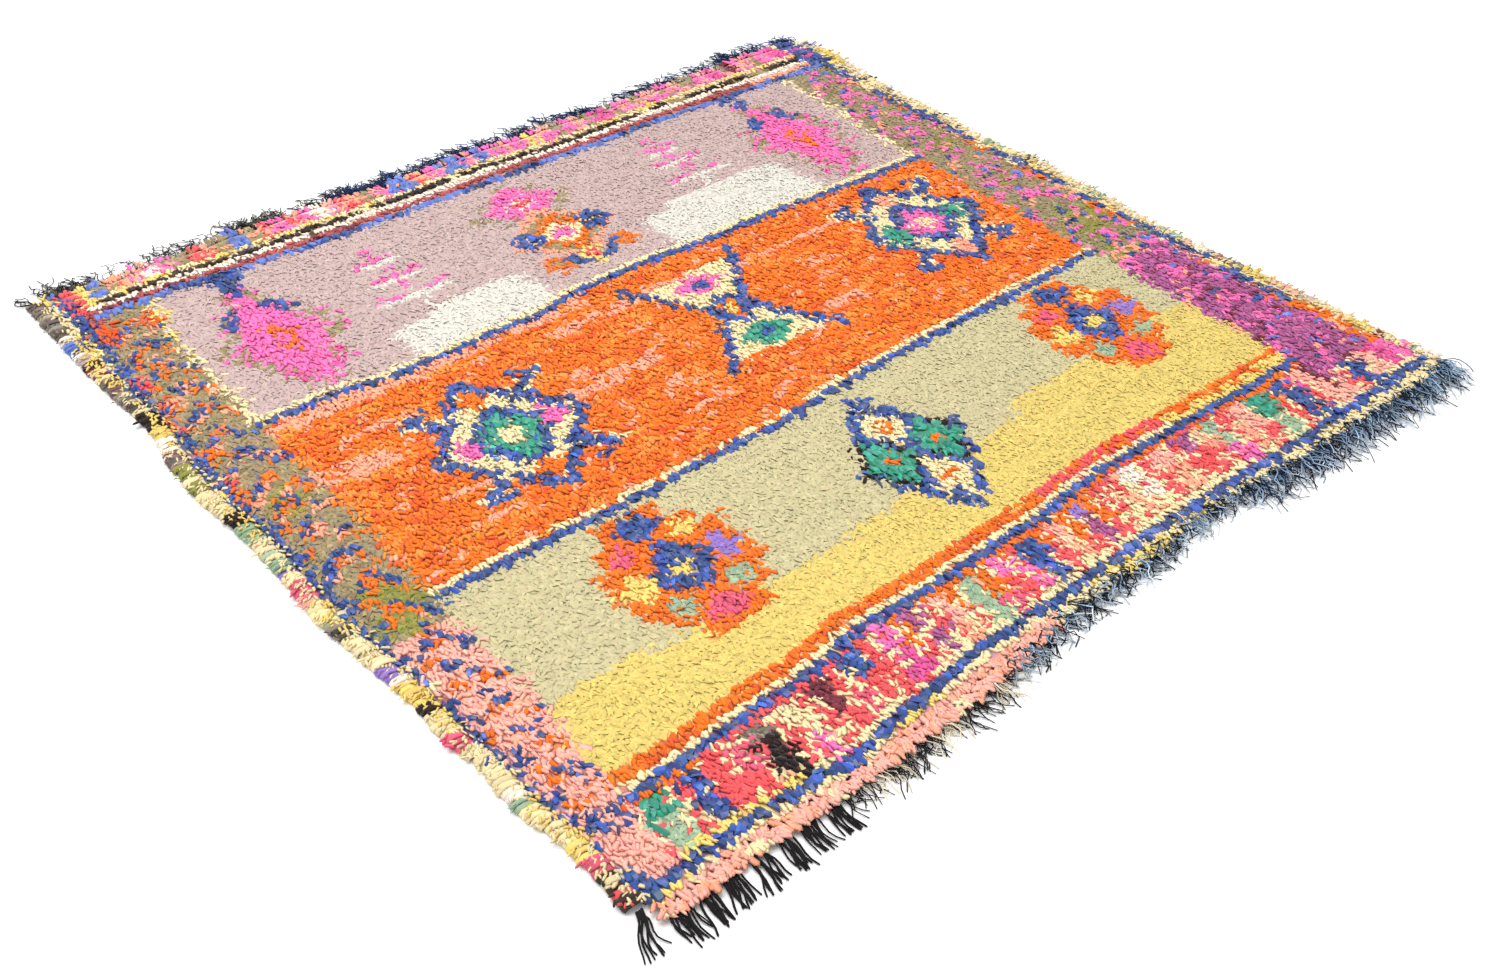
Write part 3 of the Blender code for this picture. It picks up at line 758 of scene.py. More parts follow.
def paint_guards(chart):
    """Guard stripes. Slow waves along the side decide where a rag runs out."""
    guard, height = chart.side(LEFT_GUARD), chart.y
    outer = (chart.x < guard - GUARD_HALF) & (height > -0.645)
    chart.paint("butter", outer)
    chart.paint("cream", outer & (np.sin(height * 41.0) > -0.3))
    inner = (chart.x > guard) & (chart.x < guard + 0.0165) & chart.box(-0.9, -0.7, 0.06, 0.52)
    chart.paint("orange", inner & (np.sin(height * 63.0) > 0.1) & (height < 0.40))
    chart.paint("coral", inner & (np.sin(height * 47.0) > 0.6))
    blue = (np.abs(chart.x - guard) < GUARD_HALF) & (height > -0.635)
    chart.paint("cobalt", blue & ~chart.strays(0.05, 61))
    guard = chart.side(RIGHT_GUARD)
    edge = chart.box(0.70, 0.90, -0.640, 0.612)
    chart.paint("cream", edge & (chart.x > guard + GUARD_HALF))
    chart.paint("butter", edge & (chart.x > guard + GUARD_HALF) & (np.sin(height * 33.0) > 0.55))
    inner = edge & (chart.x < guard - 0.004) & (chart.x > guard - 0.017)
    chart.paint("orange", inner & (np.sin(height * 37.0) > -0.2) & (height < 0.46))
    chart.paint("salmon", inner & (np.sin(height * 23.0 + 2.0) > 0.75))
    chart.paint("cobalt", edge & (np.abs(chart.x - guard) < GUARD_HALF)
                & (np.sin(height * 61.0) + np.sin(height * 23.0) > -1.1) & (height > -0.50))
    chart.paint("orange", edge & (np.abs(chart.x - guard) < GUARD_HALF) & (height < -0.49))


print("guards: two, one up each side")

# %% [markdown]
# Motifs sit in the fields. Nested stepped lozenges, combs and small crosses are the
# common stock of rugs of this kind. Each motif is a function of a place, so it can be
# set down where the layout needs it, and the knots give it its steps.

# %% Motifs
COMB_THICK = 0.0100
STAR_THICK = 0.0125
CROSS_CELLS = {-1: ("butter", "rose", "rose"), 1: ("lavender", "blue", "butter")}
DIAMOND_CELLS = ((-0.046, 0.002, "teal", "black"), (0.046, 0.004, "teal", "black"),
                 (0.004, 0.066, "cream", "blue"), (0.002, -0.066, "cream", "blue"))


def paint_medallion(chart, x, y):
    """Tall pink lozenge with a khaki halo and blue shoulders."""
    out = chart.lozenge(x, y, 0.095, 0.185)
    speckle = np.sin(chart.x * 210.0) * np.sin(chart.y * 170.0 + chart.x * 60.0)
    chart.paint("khaki", (out < 1.05) & (speckle > 0.05))
    chart.paint("pink", (out < 1.15) & (speckle < -0.62))
    chart.rings(x, y, 0.066, 0.150, (1.0, "pink"), (0.30, "orange"), (0.16, "pink"))
    for hand in (-1, 1):
        chart.line("blue", (x + hand * 0.050, y + 0.066), (x + hand * 0.026, y + 0.100), 0.0135)
        chart.line("magenta", (x + hand * 0.046, y - 0.080), (x + hand * 0.030, y - 0.108), 0.0115)
    chart.rings(x, y + 0.162, 0.017, 0.020, (1.0, "blue"))


def paint_comb(chart, x, y, height):
    """Upright stem with bars that shorten towards its top."""
    chart.line("pink", (x, y - height), (x, y + height), COMB_THICK)
    for order, share in enumerate((-0.55, 0.0, 0.55)):
        reach = 0.058 - 0.014 * order
        level = y + share * height
        chart.line("white", (x - reach, level - 0.008), (x + reach, level - 0.008), COMB_THICK)
        for hand in (-1, 1):
            start, stop = x + hand * reach * 0.45, x + hand * reach
            chart.line("pink", (start, level), (stop, level + 0.010), COMB_THICK)
    chart.paint("white", chart.box(x - 0.004, x + 0.006, y - height, y - height * 0.4))


def paint_tower(chart, x, y):
    """Stack of lozenges on a foot of small blocks, between the medallions."""
    speckle = np.sin(chart.x * 190.0 + 1.0) * np.sin(chart.y * 150.0)
    out = chart.lozenge(x, y + 0.130, 0.110, 0.085)
    chart.paint("khaki", (out < 1.0) & (speckle > 0.0))
    chart.rings(x, y + 0.135, 0.075, 0.062, (1.0, "pink"), (0.42, "white"), (0.22, "coral"))
    chart.rings(x, y + 0.020, 0.105, 0.090, (1.0, "salmon"), (0.80, "khaki"), (0.66, "orange"),
                (0.44, "cream"), (0.24, "pink"))
    for hand in (-1, 1):
        chart.rings(x + hand * 0.066, y + 0.024, 0.030, 0.030, (1.0, "blue"), (0.36, "butter"))
        chart.line("blue", (x + hand * 0.052, y - 0.050), (x + hand * 0.020, y - 0.076), 0.0160)
        chart.rings(x + hand * 0.070, y - 0.058, 0.026, 0.030, (1.0, "orange"), (0.4, "khaki"))
    chart.rings(x, y - 0.062, 0.022, 0.034, (1.0, "butter"), (0.4, "coral"))


def paint_star(chart, x, y, heart, cell, lower):
    """Blue and cream lozenge with hooked corners and small cells inside."""
    chart.rings(x, y, 0.128, 0.150, (1.0, "blue"), (0.86, "cream"))
    chart.rings(x, y, 0.072, 0.080, (1.0, "blue"), (0.74, heart), (0.34, "cream"))
    for hand in (-1, 1):
        chart.rings(x + hand * 0.070, y, 0.024, 0.030, (1.0, cell))
        chart.rings(x, y + hand * 0.094, 0.030, 0.026, (1.0, lower))
        for rise in (-1, 1):
            near = (x + hand * 0.068, y + rise * 0.076)
            far = (x + hand * 0.108, y + rise * 0.104)
            hook = (far[0] - hand * 0.030, far[1] + rise * 0.014)
            chart.line("cream", near, far, 0.026)
            chart.line("blue", near, far, STAR_THICK)
            chart.line("blue", far, hook, STAR_THICK)


def paint_hourglass(chart, x, y):
    """Two triangles tip to tip, outlined, with a small lozenge at each end."""
    for rise in (-1, 1):
        height = (chart.y - y) * rise
        reach = 0.020 + height * 0.62
        body = (height > 0.0) & (height < 0.118)
        sideways = np.abs(chart.x - x)
        chart.paint("blue", body & (sideways < reach + 0.012))
        chart.paint("cream", body & (sideways < reach))
        heart = "pink" if rise > 0 else "teal"
        chart.rings(x, y + rise * 0.082, 0.052, 0.030, (1.0, heart), (0.4, "blue"))
        for hand in (-1, 1):
            corner = x + hand * 0.102
            chart.line("blue", (corner, y + rise * 0.112),
                       (corner + hand * 0.014, y + rise * 0.140), 0.014)
    chart.rings(x, y, 0.044, 0.048, (1.0, "blue"), (0.62, "orange"), (0.34, "butter"))


def paint_cross(chart, x, y):
    """Stepped cross in orange with coloured cells, set in the sage field."""
    arms = (chart.box(x - 0.050, x + 0.050, y - 0.124, y + 0.124)
            | chart.box(x - 0.104, x + 0.104, y - 0.052, y + 0.052)
            | chart.box(x - 0.078, x + 0.078, y - 0.088, y + 0.088))
    chart.paint("orange", arms)
    chart.rings(x, y, 0.050, 0.056, (1.0, "blue"), (0.46, "butter"))
    for hand in (-1, 1):
        side_cell, end_cell, high_cell = CROSS_CELLS[hand]
        chart.rings(x + hand * 0.070, y, 0.028, 0.036, (1.0, side_cell))
        chart.rings(x, y + hand * 0.092, 0.034, 0.030, (1.0, end_cell))
        chart.rings(x + hand * 0.048, y - 0.058, 0.024, 0.024, (1.0, "mint"))
        chart.rings(x + hand * 0.048, y + 0.058, 0.022, 0.022, (1.0, high_cell))


def paint_diamond(chart, x, y):
    """Diamond quartered into two teal and two cream cells, with a stepped blue rim."""
    half_width, half_height = 0.094, 0.136
    slant = 0.010 * (chart.y - y) / half_height
    out = np.abs(chart.x - x - slant) / half_width + np.abs(chart.y - y) / half_height
    chart.paint("blue", (out < 1.10) & (np.sin(chart.row_number * 1.6) > -0.75))
    chart.paint("cream", out < 0.97)
    for cell_x, cell_y, fill, rim in DIAMOND_CELLS:
        chart.rings(x + cell_x, y + cell_y, 0.050, 0.070,
                    (1.0, rim), (0.80, fill), (0.24, "orange"))


def paint_motifs(chart):
    """Layout of the motifs, each at its own middle."""
    paint_medallion(chart, -0.555, 0.415)
    paint_medallion(chart, 0.515, 0.410)
    paint_comb(chart, -0.335, 0.455, 0.100)
    paint_comb(chart, 0.275, 0.475, 0.095)
    paint_tower(chart, -0.040, 0.385)
    paint_star(chart, -0.430, 0.015, "teal", "pink", "orange")
    paint_hourglass(chart, 0.030, 0.060)
    paint_star(chart, 0.470, 0.055, "pink", "teal", "salmon")
    paint_cross(chart, -0.425, -0.345)
    paint_cross(chart, 0.460, -0.325)
    paint_diamond(chart, -0.012, -0.370)


def read_chart(x, y):
    """Yarn number at each of many places of the rug."""
    chart = Chart(x, y)
    inside = paint_fields(chart)
    paint_motifs(chart)
    paint_side_borders(chart)
    paint_lines(chart, inside)
    paint_near_border(chart)
    paint_far_border(chart)
    paint_hem(chart)
    paint_guards(chart)
    return chart.yarn


print("motifs: 11 set down in the fields")

# %% [markdown]
# Rag ends, wraps and fringe yarns are all strips: a run of rings between a root point
# and a tip point. One function lays many strips at once from arrays, so a hundred
# thousand of them take a second or two, where a loop over faces would take minutes.
# Every strip is closed and gets a small cell of its own in the piece's UV map.

# %% Strips
UV_NAME = "OFBake"
CELL_MARGIN = 0.12
FLOOR_CLEAR = 0.0003
UPRIGHT = np.array([0.0, 0.0, 1.0])


class Strips:
    """Closed strips gathered for one mesh."""

    def __init__(self):
        self.count = 0
        self.points = []
        self.corners = []
        self.sizes = []
        self.cells = []
        self.colours = []
        self.runs = []
        self.kinds = []
        self.offset = 0

    def lay(self, rings, across, up, width, thick, profile, ends, colours, kind):
        """rings: strips x rings x 3 centres; across and up: their unit directions; ends:
        root and tip points; colours: strips x (rings + 2) x 3, root first, tip last."""
        strips, steps = rings.shape[:2]
        sides = len(profile)
        shape = np.array(profile)
        wide = (across * width[..., None])[:, :, None, :] * shape[None, None, :, 0, None]
        high = (up * thick[..., None])[:, :, None, :] * shape[None, None, :, 1, None]
        body = (rings[:, :, None, :] + wide + high).reshape(strips, steps * sides, 3)
        points = np.concatenate([body, ends[0][:, None], ends[1][:, None]], 1)
        self.points.append(points.reshape(-1, 3))
        per_strip = steps * sides + 2
        root, tip = steps * sides, steps * sides + 1
        faces, cells = [], []
        for side in range(sides):
            after = (side + 1) % sides
            u0, u1 = side / sides, (side + 1) / sides
            v = [(step + 1) / (steps + 1) for step in range(steps)]
            faces.append((root, after, side))
            cells.append(((u0 + u1) / 2, 0.0, u1, v[0], u0, v[0]))
            for step in range(steps - 1):
                low, high_ring = step * sides, (step + 1) * sides
                faces.append((low + side, low + after, high_ring + after, high_ring + side))
                cells.append((u0, v[step], u1, v[step], u1, v[step + 1], u0, v[step + 1]))
            low = (steps - 1) * sides
            faces.append((low + side, low + after, tip))
            cells.append((u0, v[-1], u1, v[-1], (u0 + u1) / 2, 1.0))
        flat = np.array([corner for face in faces for corner in face])
        sizes = np.array([len(face) for face in faces])
        places = np.array([value for cell in cells for value in cell]).reshape(-1, 2)
        starts = self.offset + np.arange(strips) * per_strip
        self.corners.append((starts[:, None] + flat[None, :]).ravel())
        self.sizes.append(np.tile(sizes, strips))
        numbers = self.count + np.arange(strips)
        self.cells.append((np.repeat(numbers, len(flat)), np.tile(places, (strips, 1))))
        tint = np.repeat(colours[:, 1:-1], sides, axis=1)
        tints = np.concatenate([tint, colours[:, :1], colours[:, -1:]], 1)
        self.colours.append(tints.reshape(-1, 3))
        run = np.repeat(np.arange(1, steps + 1) / (steps + 1), sides)
        self.runs.append(np.tile(np.concatenate([run, [0.0, 1.0]]), strips))
        self.kinds.append(np.full(strips * len(faces), kind))
        self.count += strips
        self.offset += strips * per_strip

    def triangles(self):
        return int(sum((sizes - 2).sum() for sizes in self.sizes))

    def make(self, name, materials):
        """Mesh object of all strips, with its attributes and UV cells."""
        points = np.concatenate(self.points)
        points[:, 2] = np.maximum(points[:, 2], FLOOR_CLEAR)
        corners = np.concatenate(self.corners)
        sizes = np.concatenate(self.sizes)
        mesh = bpy.data.meshes.new(name)
        mesh.vertices.add(len(points))
        mesh.vertices.foreach_set("co", points.astype(np.float32).ravel())
        mesh.loops.add(len(corners))
        mesh.loops.foreach_set("vertex_index", corners.astype(np.int32))
        mesh.polygons.add(len(sizes))
        starts = np.concatenate([[0], np.cumsum(sizes)[:-1]])
        mesh.polygons.foreach_set("loop_start", starts.astype(np.int32))
        mesh.polygons.foreach_set("material_index", np.concatenate(self.kinds).astype(np.int32))
        grid = math.ceil(math.sqrt(self.count))
        numbers = np.concatenate([cell[0] for cell in self.cells])
        places = np.concatenate([cell[1] for cell in self.cells])
        inner = CELL_MARGIN + places * (1 - 2 * CELL_MARGIN)
        cell_corner = np.stack([numbers % grid, numbers // grid], 1)
        layer = mesh.uv_layers.new(name=UV_NAME)
        layer.data.foreach_set("uv", ((cell_corner + inner) / grid).astype(np.float32).ravel())
        mesh.update(calc_edges=True)
        crisp = (MATERIALS["satin"], MATERIALS["fine"])
        soft = np.array([material not in crisp for material in materials])
        mesh.polygons.foreach_set("use_smooth", soft[np.concatenate(self.kinds)])
        add_attributes(mesh, np.concatenate(self.colours), np.concatenate(self.runs))
        for material in materials:
            mesh.materials.append(material)
        piece = bpy.data.objects.new(name, mesh)
        scene.collection.objects.link(piece)
        return piece


def add_attributes(mesh, colours, runs):
    """Dyed colour and place from root to tip, for the materials."""
    tint = mesh.attributes.new("yarn_colour", "FLOAT_COLOR", "POINT")
    full = np.concatenate([colours, np.ones((len(colours), 1))], 1)
    tint.data.foreach_set("color", full.astype(np.float32).ravel())
    layer = mesh.attributes.new("leaf_run", "FLOAT", "POINT")
    layer.data.foreach_set("value", np.asarray(runs, dtype=np.float32))


print("strips: ready")

# %% [markdown]
# Materials are built with a small class that wraps one output of a node tree, so that
# shader maths reads like Python. Each operator adds a Math node, and `node` adds any
# other kind. A Math node would turn a colour grey, so `scaled` uses Vector Math.

# %% Shader maths
class Flow:
    """One output in a material's node tree."""

    def __init__(self, tree, socket=None):
        self.tree = tree
        self.socket = socket

    def node(self, kind, settings=None, sockets=None, output=0):
        made = self.tree.nodes.new(kind)
        for name, value in (settings or {}).items():
            setattr(made, name, value)
        for key, value in (sockets or {}).items():
            if isinstance(value, Flow):
                self.tree.links.new(value.socket, made.inputs[key])
            else:
                made.inputs[key].default_value = value
        return Flow(self.tree, made.outputs[output])

    def math(self, operation, first, second):
        return self.node("ShaderNodeMath", {"operation": operation}, {0: first, 1: second})

    def __add__(self, other):
        return self.math("ADD", self, other)

    __radd__ = __add__

    def __sub__(self, other):
        return self.math("SUBTRACT", self, other)

    def __rsub__(self, other):
        return self.math("SUBTRACT", other, self)

    def __mul__(self, other):
        return self.math("MULTIPLY", self, other)

    __rmul__ = __mul__

    def scaled(self, factor):
        """This colour times a number."""
        return self.node("ShaderNodeVectorMath", {"operation": "SCALE"}, {0: self, 3: factor})


print("shader maths: ready")

# %% [markdown]
# Cotton rag is matte with fine fibres along the strip, unravelled yarn is duller, and
# lining cloth is the smoothest. The wraps and the twisted warp are matte too. The five
# finishes share one recipe: the dyed colour, with painted shade that darkens it towards
# the root, faint streaks along the fibres, and a bump from the same streaks. Only the
# numbers differ.

# %% Finishes
# root is painted shade: the share of the dyed colour that is left at the foot of a strip.
Finish = namedtuple("Finish", "name roughness streak streak_scale bump sheen root specular")
FINISHES = {
    "rag": Finish("cotton_rag", 0.86, 0.16, 620.0, 0.35, 0.12, 0.90, 0.22),
    "fine": Finish("matted_yarn", 0.92, 0.20, 900.0, 0.45, 0.12, 0.95, 0.18),
    "satin": Finish("lining_rag", 0.36, 0.12, 380.0, 0.30, 0.08, 0.82, 0.55),
    "wrap": Finish("wrapped_rag", 0.88, 0.24, 520.0, 0.45, 0.12, 0.88, 0.20),
    "warp": Finish("twisted_warp", 0.90, 0.20, 1300.0, 0.50, 0.05, 0.90, 0.20)}
FIBRE_STRETCH = (1.0, 0.16, 1.0)
BLOTCH_SCALE = 95.0
BLOTCH_DEPTH = 0.22
ROUGHNESS_SPAN = 0.20
SHEEN_ROUGHNESS = 0.5
BUMP_DISTANCE = 0.0008


def make_finish(finish):
    """Principled material that reads the strips' attributes."""
    material = bpy.data.materials.new(finish.name)
    material.use_nodes = True
    tree = material.node_tree
    shader = tree.nodes["Principled BSDF"]
    flow = Flow(tree)
    dyed = flow.node("ShaderNodeAttribute", {"attribute_name": "yarn_colour"})
    run = flow.node("ShaderNodeAttribute", {"attribute_name": "leaf_run"}, output=2)
    place = flow.node("ShaderNodeTexCoord", output=3)
    fibre_place = flow.node("ShaderNodeMapping", None, {"Vector": place, "Scale": FIBRE_STRETCH})
    fibres = flow.node("ShaderNodeTexNoise", None,
                       {"Vector": fibre_place, "Scale": finish.streak_scale, "Detail": 2.0})
    blotch = flow.node("ShaderNodeTexNoise", None,
                       {"Vector": place, "Scale": BLOTCH_SCALE, "Detail": 2.0})
    shade = 1.0 + (fibres - 0.5) * (2 * finish.streak) + (blotch - 0.5) * BLOTCH_DEPTH
    # Painted shade: rise darkens the dyed colour towards the root of each strip.
    rise = flow.node("ShaderNodeMapRange", {"interpolation_type": "SMOOTHSTEP"},
                     {"Value": run, "From Min": 0.05, "From Max": 0.55, "To Min": finish.root,
                      "To Max": 1.0})
    colour = dyed.scaled(shade * rise)
    bump = flow.node("ShaderNodeBump", None,
                     {"Height": fibres, "Strength": finish.bump, "Distance": BUMP_DISTANCE})
    tree.links.new(colour.socket, shader.inputs["Base Color"])
    tree.links.new(bump.socket, shader.inputs["Normal"])
    roughness = finish.roughness + (fibres - 0.5) * ROUGHNESS_SPAN
    tree.links.new(roughness.socket, shader.inputs["Roughness"])
    shader.inputs["Sheen Weight"].default_value = finish.sheen
    shader.inputs["Sheen Roughness"].default_value = SHEEN_ROUGHNESS
    shader.inputs["Specular IOR Level"].default_value = finish.specular
    return material


MATERIALS = {kind: make_finish(finish) for kind, finish in FINISHES.items()}
print("finishes:", [material.name for material in MATERIALS.values()])

# %% [markdown]
# The ground is the woven cloth that carries the knots. Seen from above only its
# colour glints between the rag ends, and from below it shows the backs of the knots in
# the same design. It could be a plane with a texture, but a closed sheet with a ribbed
# top and back also works as a mesh on its own. Its top follows the lumps of the pile,
# a fixed depth under the tufts, so the height of the pile is worked out here first.

# %% Ground cloth
GROUND_COLUMNS = 80
GROUND_ROWS = 66
GROUND_BACK = 0.0004
GROUND_DEPTH = 0.0021
GROUND_RIB = 0.0004
WEFT_COLOUR = (205, 190, 160)
WEFT_SHARE = 0.08
BACK_LIGHT = 1.3
PILE_THICKNESS = 0.0126
PILE_RIM_THICKNESS = 0.0094
PILE_RIM_WIDTH = 0.040
LUMP_HEIGHT = 0.0020
LUMP_SPREAD = 0.085
ROW_LUMP_HEIGHT = 0.0010
ROW_LUMP_SPREAD = 0.040


def pile_height(x, y, rim_distance):
    """Height of the lumpy pile, lower towards its rim."""
    rise = smooth(rim_distance / PILE_RIM_WIDTH)
    broad = np.array([noise.noise(Vector((a, b, 0.0)) / LUMP_SPREAD) for a, b in zip(x, y)])
    rows = np.array([noise.noise(Vector((a * 0.5, b, 0.4)) / ROW_LUMP_SPREAD)
                     for a, b in zip(x, y)])
    body = PILE_RIM_THICKNESS + (PILE_THICKNESS - PILE_RIM_THICKNESS) * rise
    return body + rise * (LUMP_HEIGHT * broad + ROW_LUMP_HEIGHT * rows)


def ground_colours(x, y):
    """Yarn colours of the design, mixed a little with the cream weft."""
    dyed = YARN_COLOURS[read_chart(x, y)]
    return dyed * (1 - WEFT_SHARE) + to_linear(WEFT_COLOUR) * WEFT_SHARE


def make_ground():
    """Closed sheet: a top, a back and a skirt, each corner with its place in the UV map."""
    shares_x = np.linspace(0, 1, GROUND_COLUMNS + 1)
    shares_y = np.linspace(0, 1, GROUND_ROWS + 1)
    across, along = np.meshgrid(shares_x, shares_y)
    x, y = plan_point(across, along)
    ribs = GROUND_RIB * np.where(np.arange(GROUND_ROWS + 1) % 2 == 0, 1.0, -1.0)[:, None]
    to_side = np.minimum(across, 1 - across) * RUG_WIDTH
    to_end = np.minimum(along, 1 - along) * RUG_LENGTH
    rim_distance = np.minimum(to_side, to_end)
    level = pile_height(x.ravel(), y.ravel(), rim_distance.ravel()).reshape(x.shape)
    top = np.stack([x, y, level - GROUND_DEPTH + ribs], -1).reshape(-1, 3)
    back = np.stack([x, y, np.full_like(x, GROUND_BACK) - ribs * 0.6], -1).reshape(-1, 3)
    columns = GROUND_COLUMNS + 1
    total = len(top)
    index = np.arange(total).reshape(GROUND_ROWS + 1, columns)
    low, right = index[:-1, :-1].ravel(), index[:-1, 1:].ravel()
    high, high_right = index[1:, :-1].ravel(), index[1:, 1:].ravel()
    faces = np.concatenate([np.stack([low, right, high_right, high], 1),
                            np.stack([low, high, high_right, right], 1) + total])
    rim = np.concatenate([index[0, :], index[1:, -1], index[-1, -2::-1], index[-2:0:-1, 0]])
    after = np.roll(rim, -1)
    skirt = np.stack([rim + total, after + total, after, rim], 1)
    mesh = bpy.data.meshes.new("ground_cloth")
    points, faces = np.concatenate([top, back]), np.concatenate([faces, skirt])
    mesh.from_pydata(points.tolist(), [], faces.tolist())
    layer = mesh.uv_layers.new(name=UV_NAME)
    corner = np.empty(len(mesh.loops), dtype=np.int32)
    mesh.loops.foreach_get("vertex_index", corner)
    spot = corner % total
    u = (spot % columns) / GROUND_COLUMNS * 0.48 + np.where(corner >= total, 0.51, 0.01)
    v = (spot // columns) / GROUND_ROWS * 0.98 + 0.01
    layer.data.foreach_set("uv", np.stack([u, v], 1).astype(np.float32).ravel())
    colours = ground_colours(x.ravel(), y.ravel())
    both = np.concatenate([colours, colours * BACK_LIGHT])
    add_attributes(mesh, both, np.ones(len(both)))
    mesh.materials.append(MATERIALS["wrap"])
    piece = bpy.data.objects.new("ground_cloth", mesh)
    scene.collection.objects.link(piece)
    return piece


ground = make_ground()
print("ground cloth:", len(ground.data.polygons), "faces")

# %% [markdown]
# Each knot leaves a few rag ends. An end comes up out of the ground, bends over and
# lies on the row in front of it, so all ends lean towards the near side. The kinds
# differ in number, width and crispness of their ends, and in how much they fan out.
# The root sits in the cloth, and the tip droops a little. Each end is a strip with
# one to three rings: RUNS says how far along they are, RISES how high, SPANS how wide.

# %% Rag ends of the knots
# How a kind of rag is cut: its material slot, the ends of a knot, their size in metres,
# how far they turn and twist by chance (radians), the rings of the strip, how deep the
# root sits and how unevenly the end lies.
Cut = namedtuple("Cut", "slot ends width thick reach turn twist rings depth stir")
CUTS = {"rag": Cut(0, 3, 0.0072, 0.0019, 0.0168, 0.42, 0.16, 2, 0.0042, 0.0006),
        "fine": Cut(1, 5, 0.0052, 0.0008, 0.0176, 0.66, 0.06, 1, 0.0030, 0.0003),
        "satin": Cut(2, 2, 0.0100, 0.0034, 0.0205, 0.34, 0.42, 3, 0.0050, 0.0006),
        "slim": Cut(2, 2, 0.0074, 0.0030, 0.0166, 0.34, 0.36, 3, 0.0050, 0.0006)}
LEAF_PROFILE = ((-0.50, -0.30), (0.50, -0.30), (0.06, 0.70))
RUNS = {1: (0.70,), 2: (0.34, 0.84), 3: (0.24, 0.55, 0.88)}
RISES = {1: (0.99,), 2: (0.95, 0.98), 3: (0.92, 1.06, 1.00)}
SPANS = {1: (1.00,), 2: (0.94, 0.84), 3: (0.84, 1.00, 0.80)}
TIP_RISE = 0.86
TIP_LIGHT = 1.08
END_SPREAD = 1.05
END_FAN = 0.35
END_BOW = 0.24
REACH_CHANCE = 0.15
WIDTH_CHANCE = 0.18
THICK_CHANCE = 0.2
CAST = 0.35
BRIGHTEST = 0.98


def dye(yarn, count):
    """Colours of many ends: their yarn's colour, lighter or darker by chance."""
    spread = YARN_SPREADS[yarn][:, None]
    tone = np.exp(rng.normal(0, 1, (count, 1)) * spread)
    cast = 1 + rng.normal(0, CAST, (count, 3)) * spread
    return np.clip(YARN_COLOURS[yarn] * tone * cast, 0.0, BRIGHTEST)


def lay_ends(strips, cut, x, y, height, yarn, slot, lean, shade=1.0):
    """Rag ends of many knots of one kind."""
    ends = cut.ends
    x, y, height, yarn, lean = (np.repeat(value, ends) for value in (x, y, height, yarn, lean))
    count = len(x)
    order = np.tile(np.arange(ends) - (ends - 1) / 2, count // ends)
    x = x + order * KNOT_PITCH / ends * END_SPREAD + rng.normal(0, 0.0009, count)
    y = y + rng.normal(0, 0.0015, count)
    heading = lean + order / ends * END_FAN + rng.normal(0, cut.turn, count)
    reach = cut.reach * np.exp(rng.normal(0, REACH_CHANCE, count))
    width = cut.width * np.exp(rng.normal(0, WIDTH_CHANCE, count))
    lift = rng.normal(0, cut.stir, count)
    twist = rng.normal(0, cut.twist, count)
    bow = rng.normal(0, END_BOW, count)
    rings = np.zeros((count, cut.rings, 3))
    across = np.zeros_like(rings)
    up = np.zeros_like(rings)
    for step, (run, rise) in enumerate(zip(RUNS[cut.rings], RISES[cut.rings])):
        way = heading + bow * run
        rings[:, step, 0] = x + np.cos(way) * reach * run
        rings[:, step, 1] = y + np.sin(way) * reach * run
        stir = rng.normal(0, cut.stir * 0.6, count)
        rings[:, step, 2] = height * rise + lift * (0.5 + run) + stir
        roll = twist * (0.6 + run)
        sideways = np.stack([-np.sin(way), np.cos(way), np.zeros(count)], 1)
        across[:, step] = sideways * np.cos(roll)[:, None] + UPRIGHT * np.sin(roll)[:, None]
        up[:, step] = UPRIGHT * np.cos(roll)[:, None] - sideways * np.sin(roll)[:, None]
    widths = width[:, None] * np.array(SPANS[cut.rings])
    thick = cut.thick * np.exp(rng.normal(0, THICK_CHANCE, (count, 1)))
    thicks = thick * np.array(SPANS[cut.rings])
    root = np.stack([x, y, height - cut.depth], 1)
    way = heading + bow
    tip = np.stack([x + np.cos(way) * reach, y + np.sin(way) * reach,
                    np.maximum(height * TIP_RISE + lift, 0.001)], 1)
    colours = np.repeat(dye(yarn, count)[:, None, :] * shade, cut.rings + 2, axis=1)
    colours[:, -1] = np.clip(colours[:, -1] * TIP_LIGHT, 0.0, BRIGHTEST)
    strips.lay(rings, -across, up, widths, thicks, LEAF_PROFILE, (root, tip), colours, slot)


print("ends for each knot:", {kind: cut.ends for kind, cut in CUTS.items()})

# %% [markdown]
# Knots are tied row by row, and each is nudged, because no hand ties them evenly. The
# chart gives each knot its yarn, read where its ends will show. At each end of the rug
# a few more rows sit on the last picks. At the near end they make its soft roll, three
# rows at the left and one at the right, and the one at the far end falls outwards. The
# pile is made in bands across the rug, since one mesh of all ends would be very heavy.

# %% Pile
PILE_BANDS = 6
KNOT_NUDGE = 0.0014
SLOTS = ("rag", "fine", "satin")
CHART_NUDGE = 0.0020
NEAR_ROLL = (-0.80, -0.50, -0.20)
WIDE_ROLL_TOP = -0.3
WIDE_ROLL_STOP = -0.12
FAR_ROLL = (KNOT_ROWS - 0.10,)


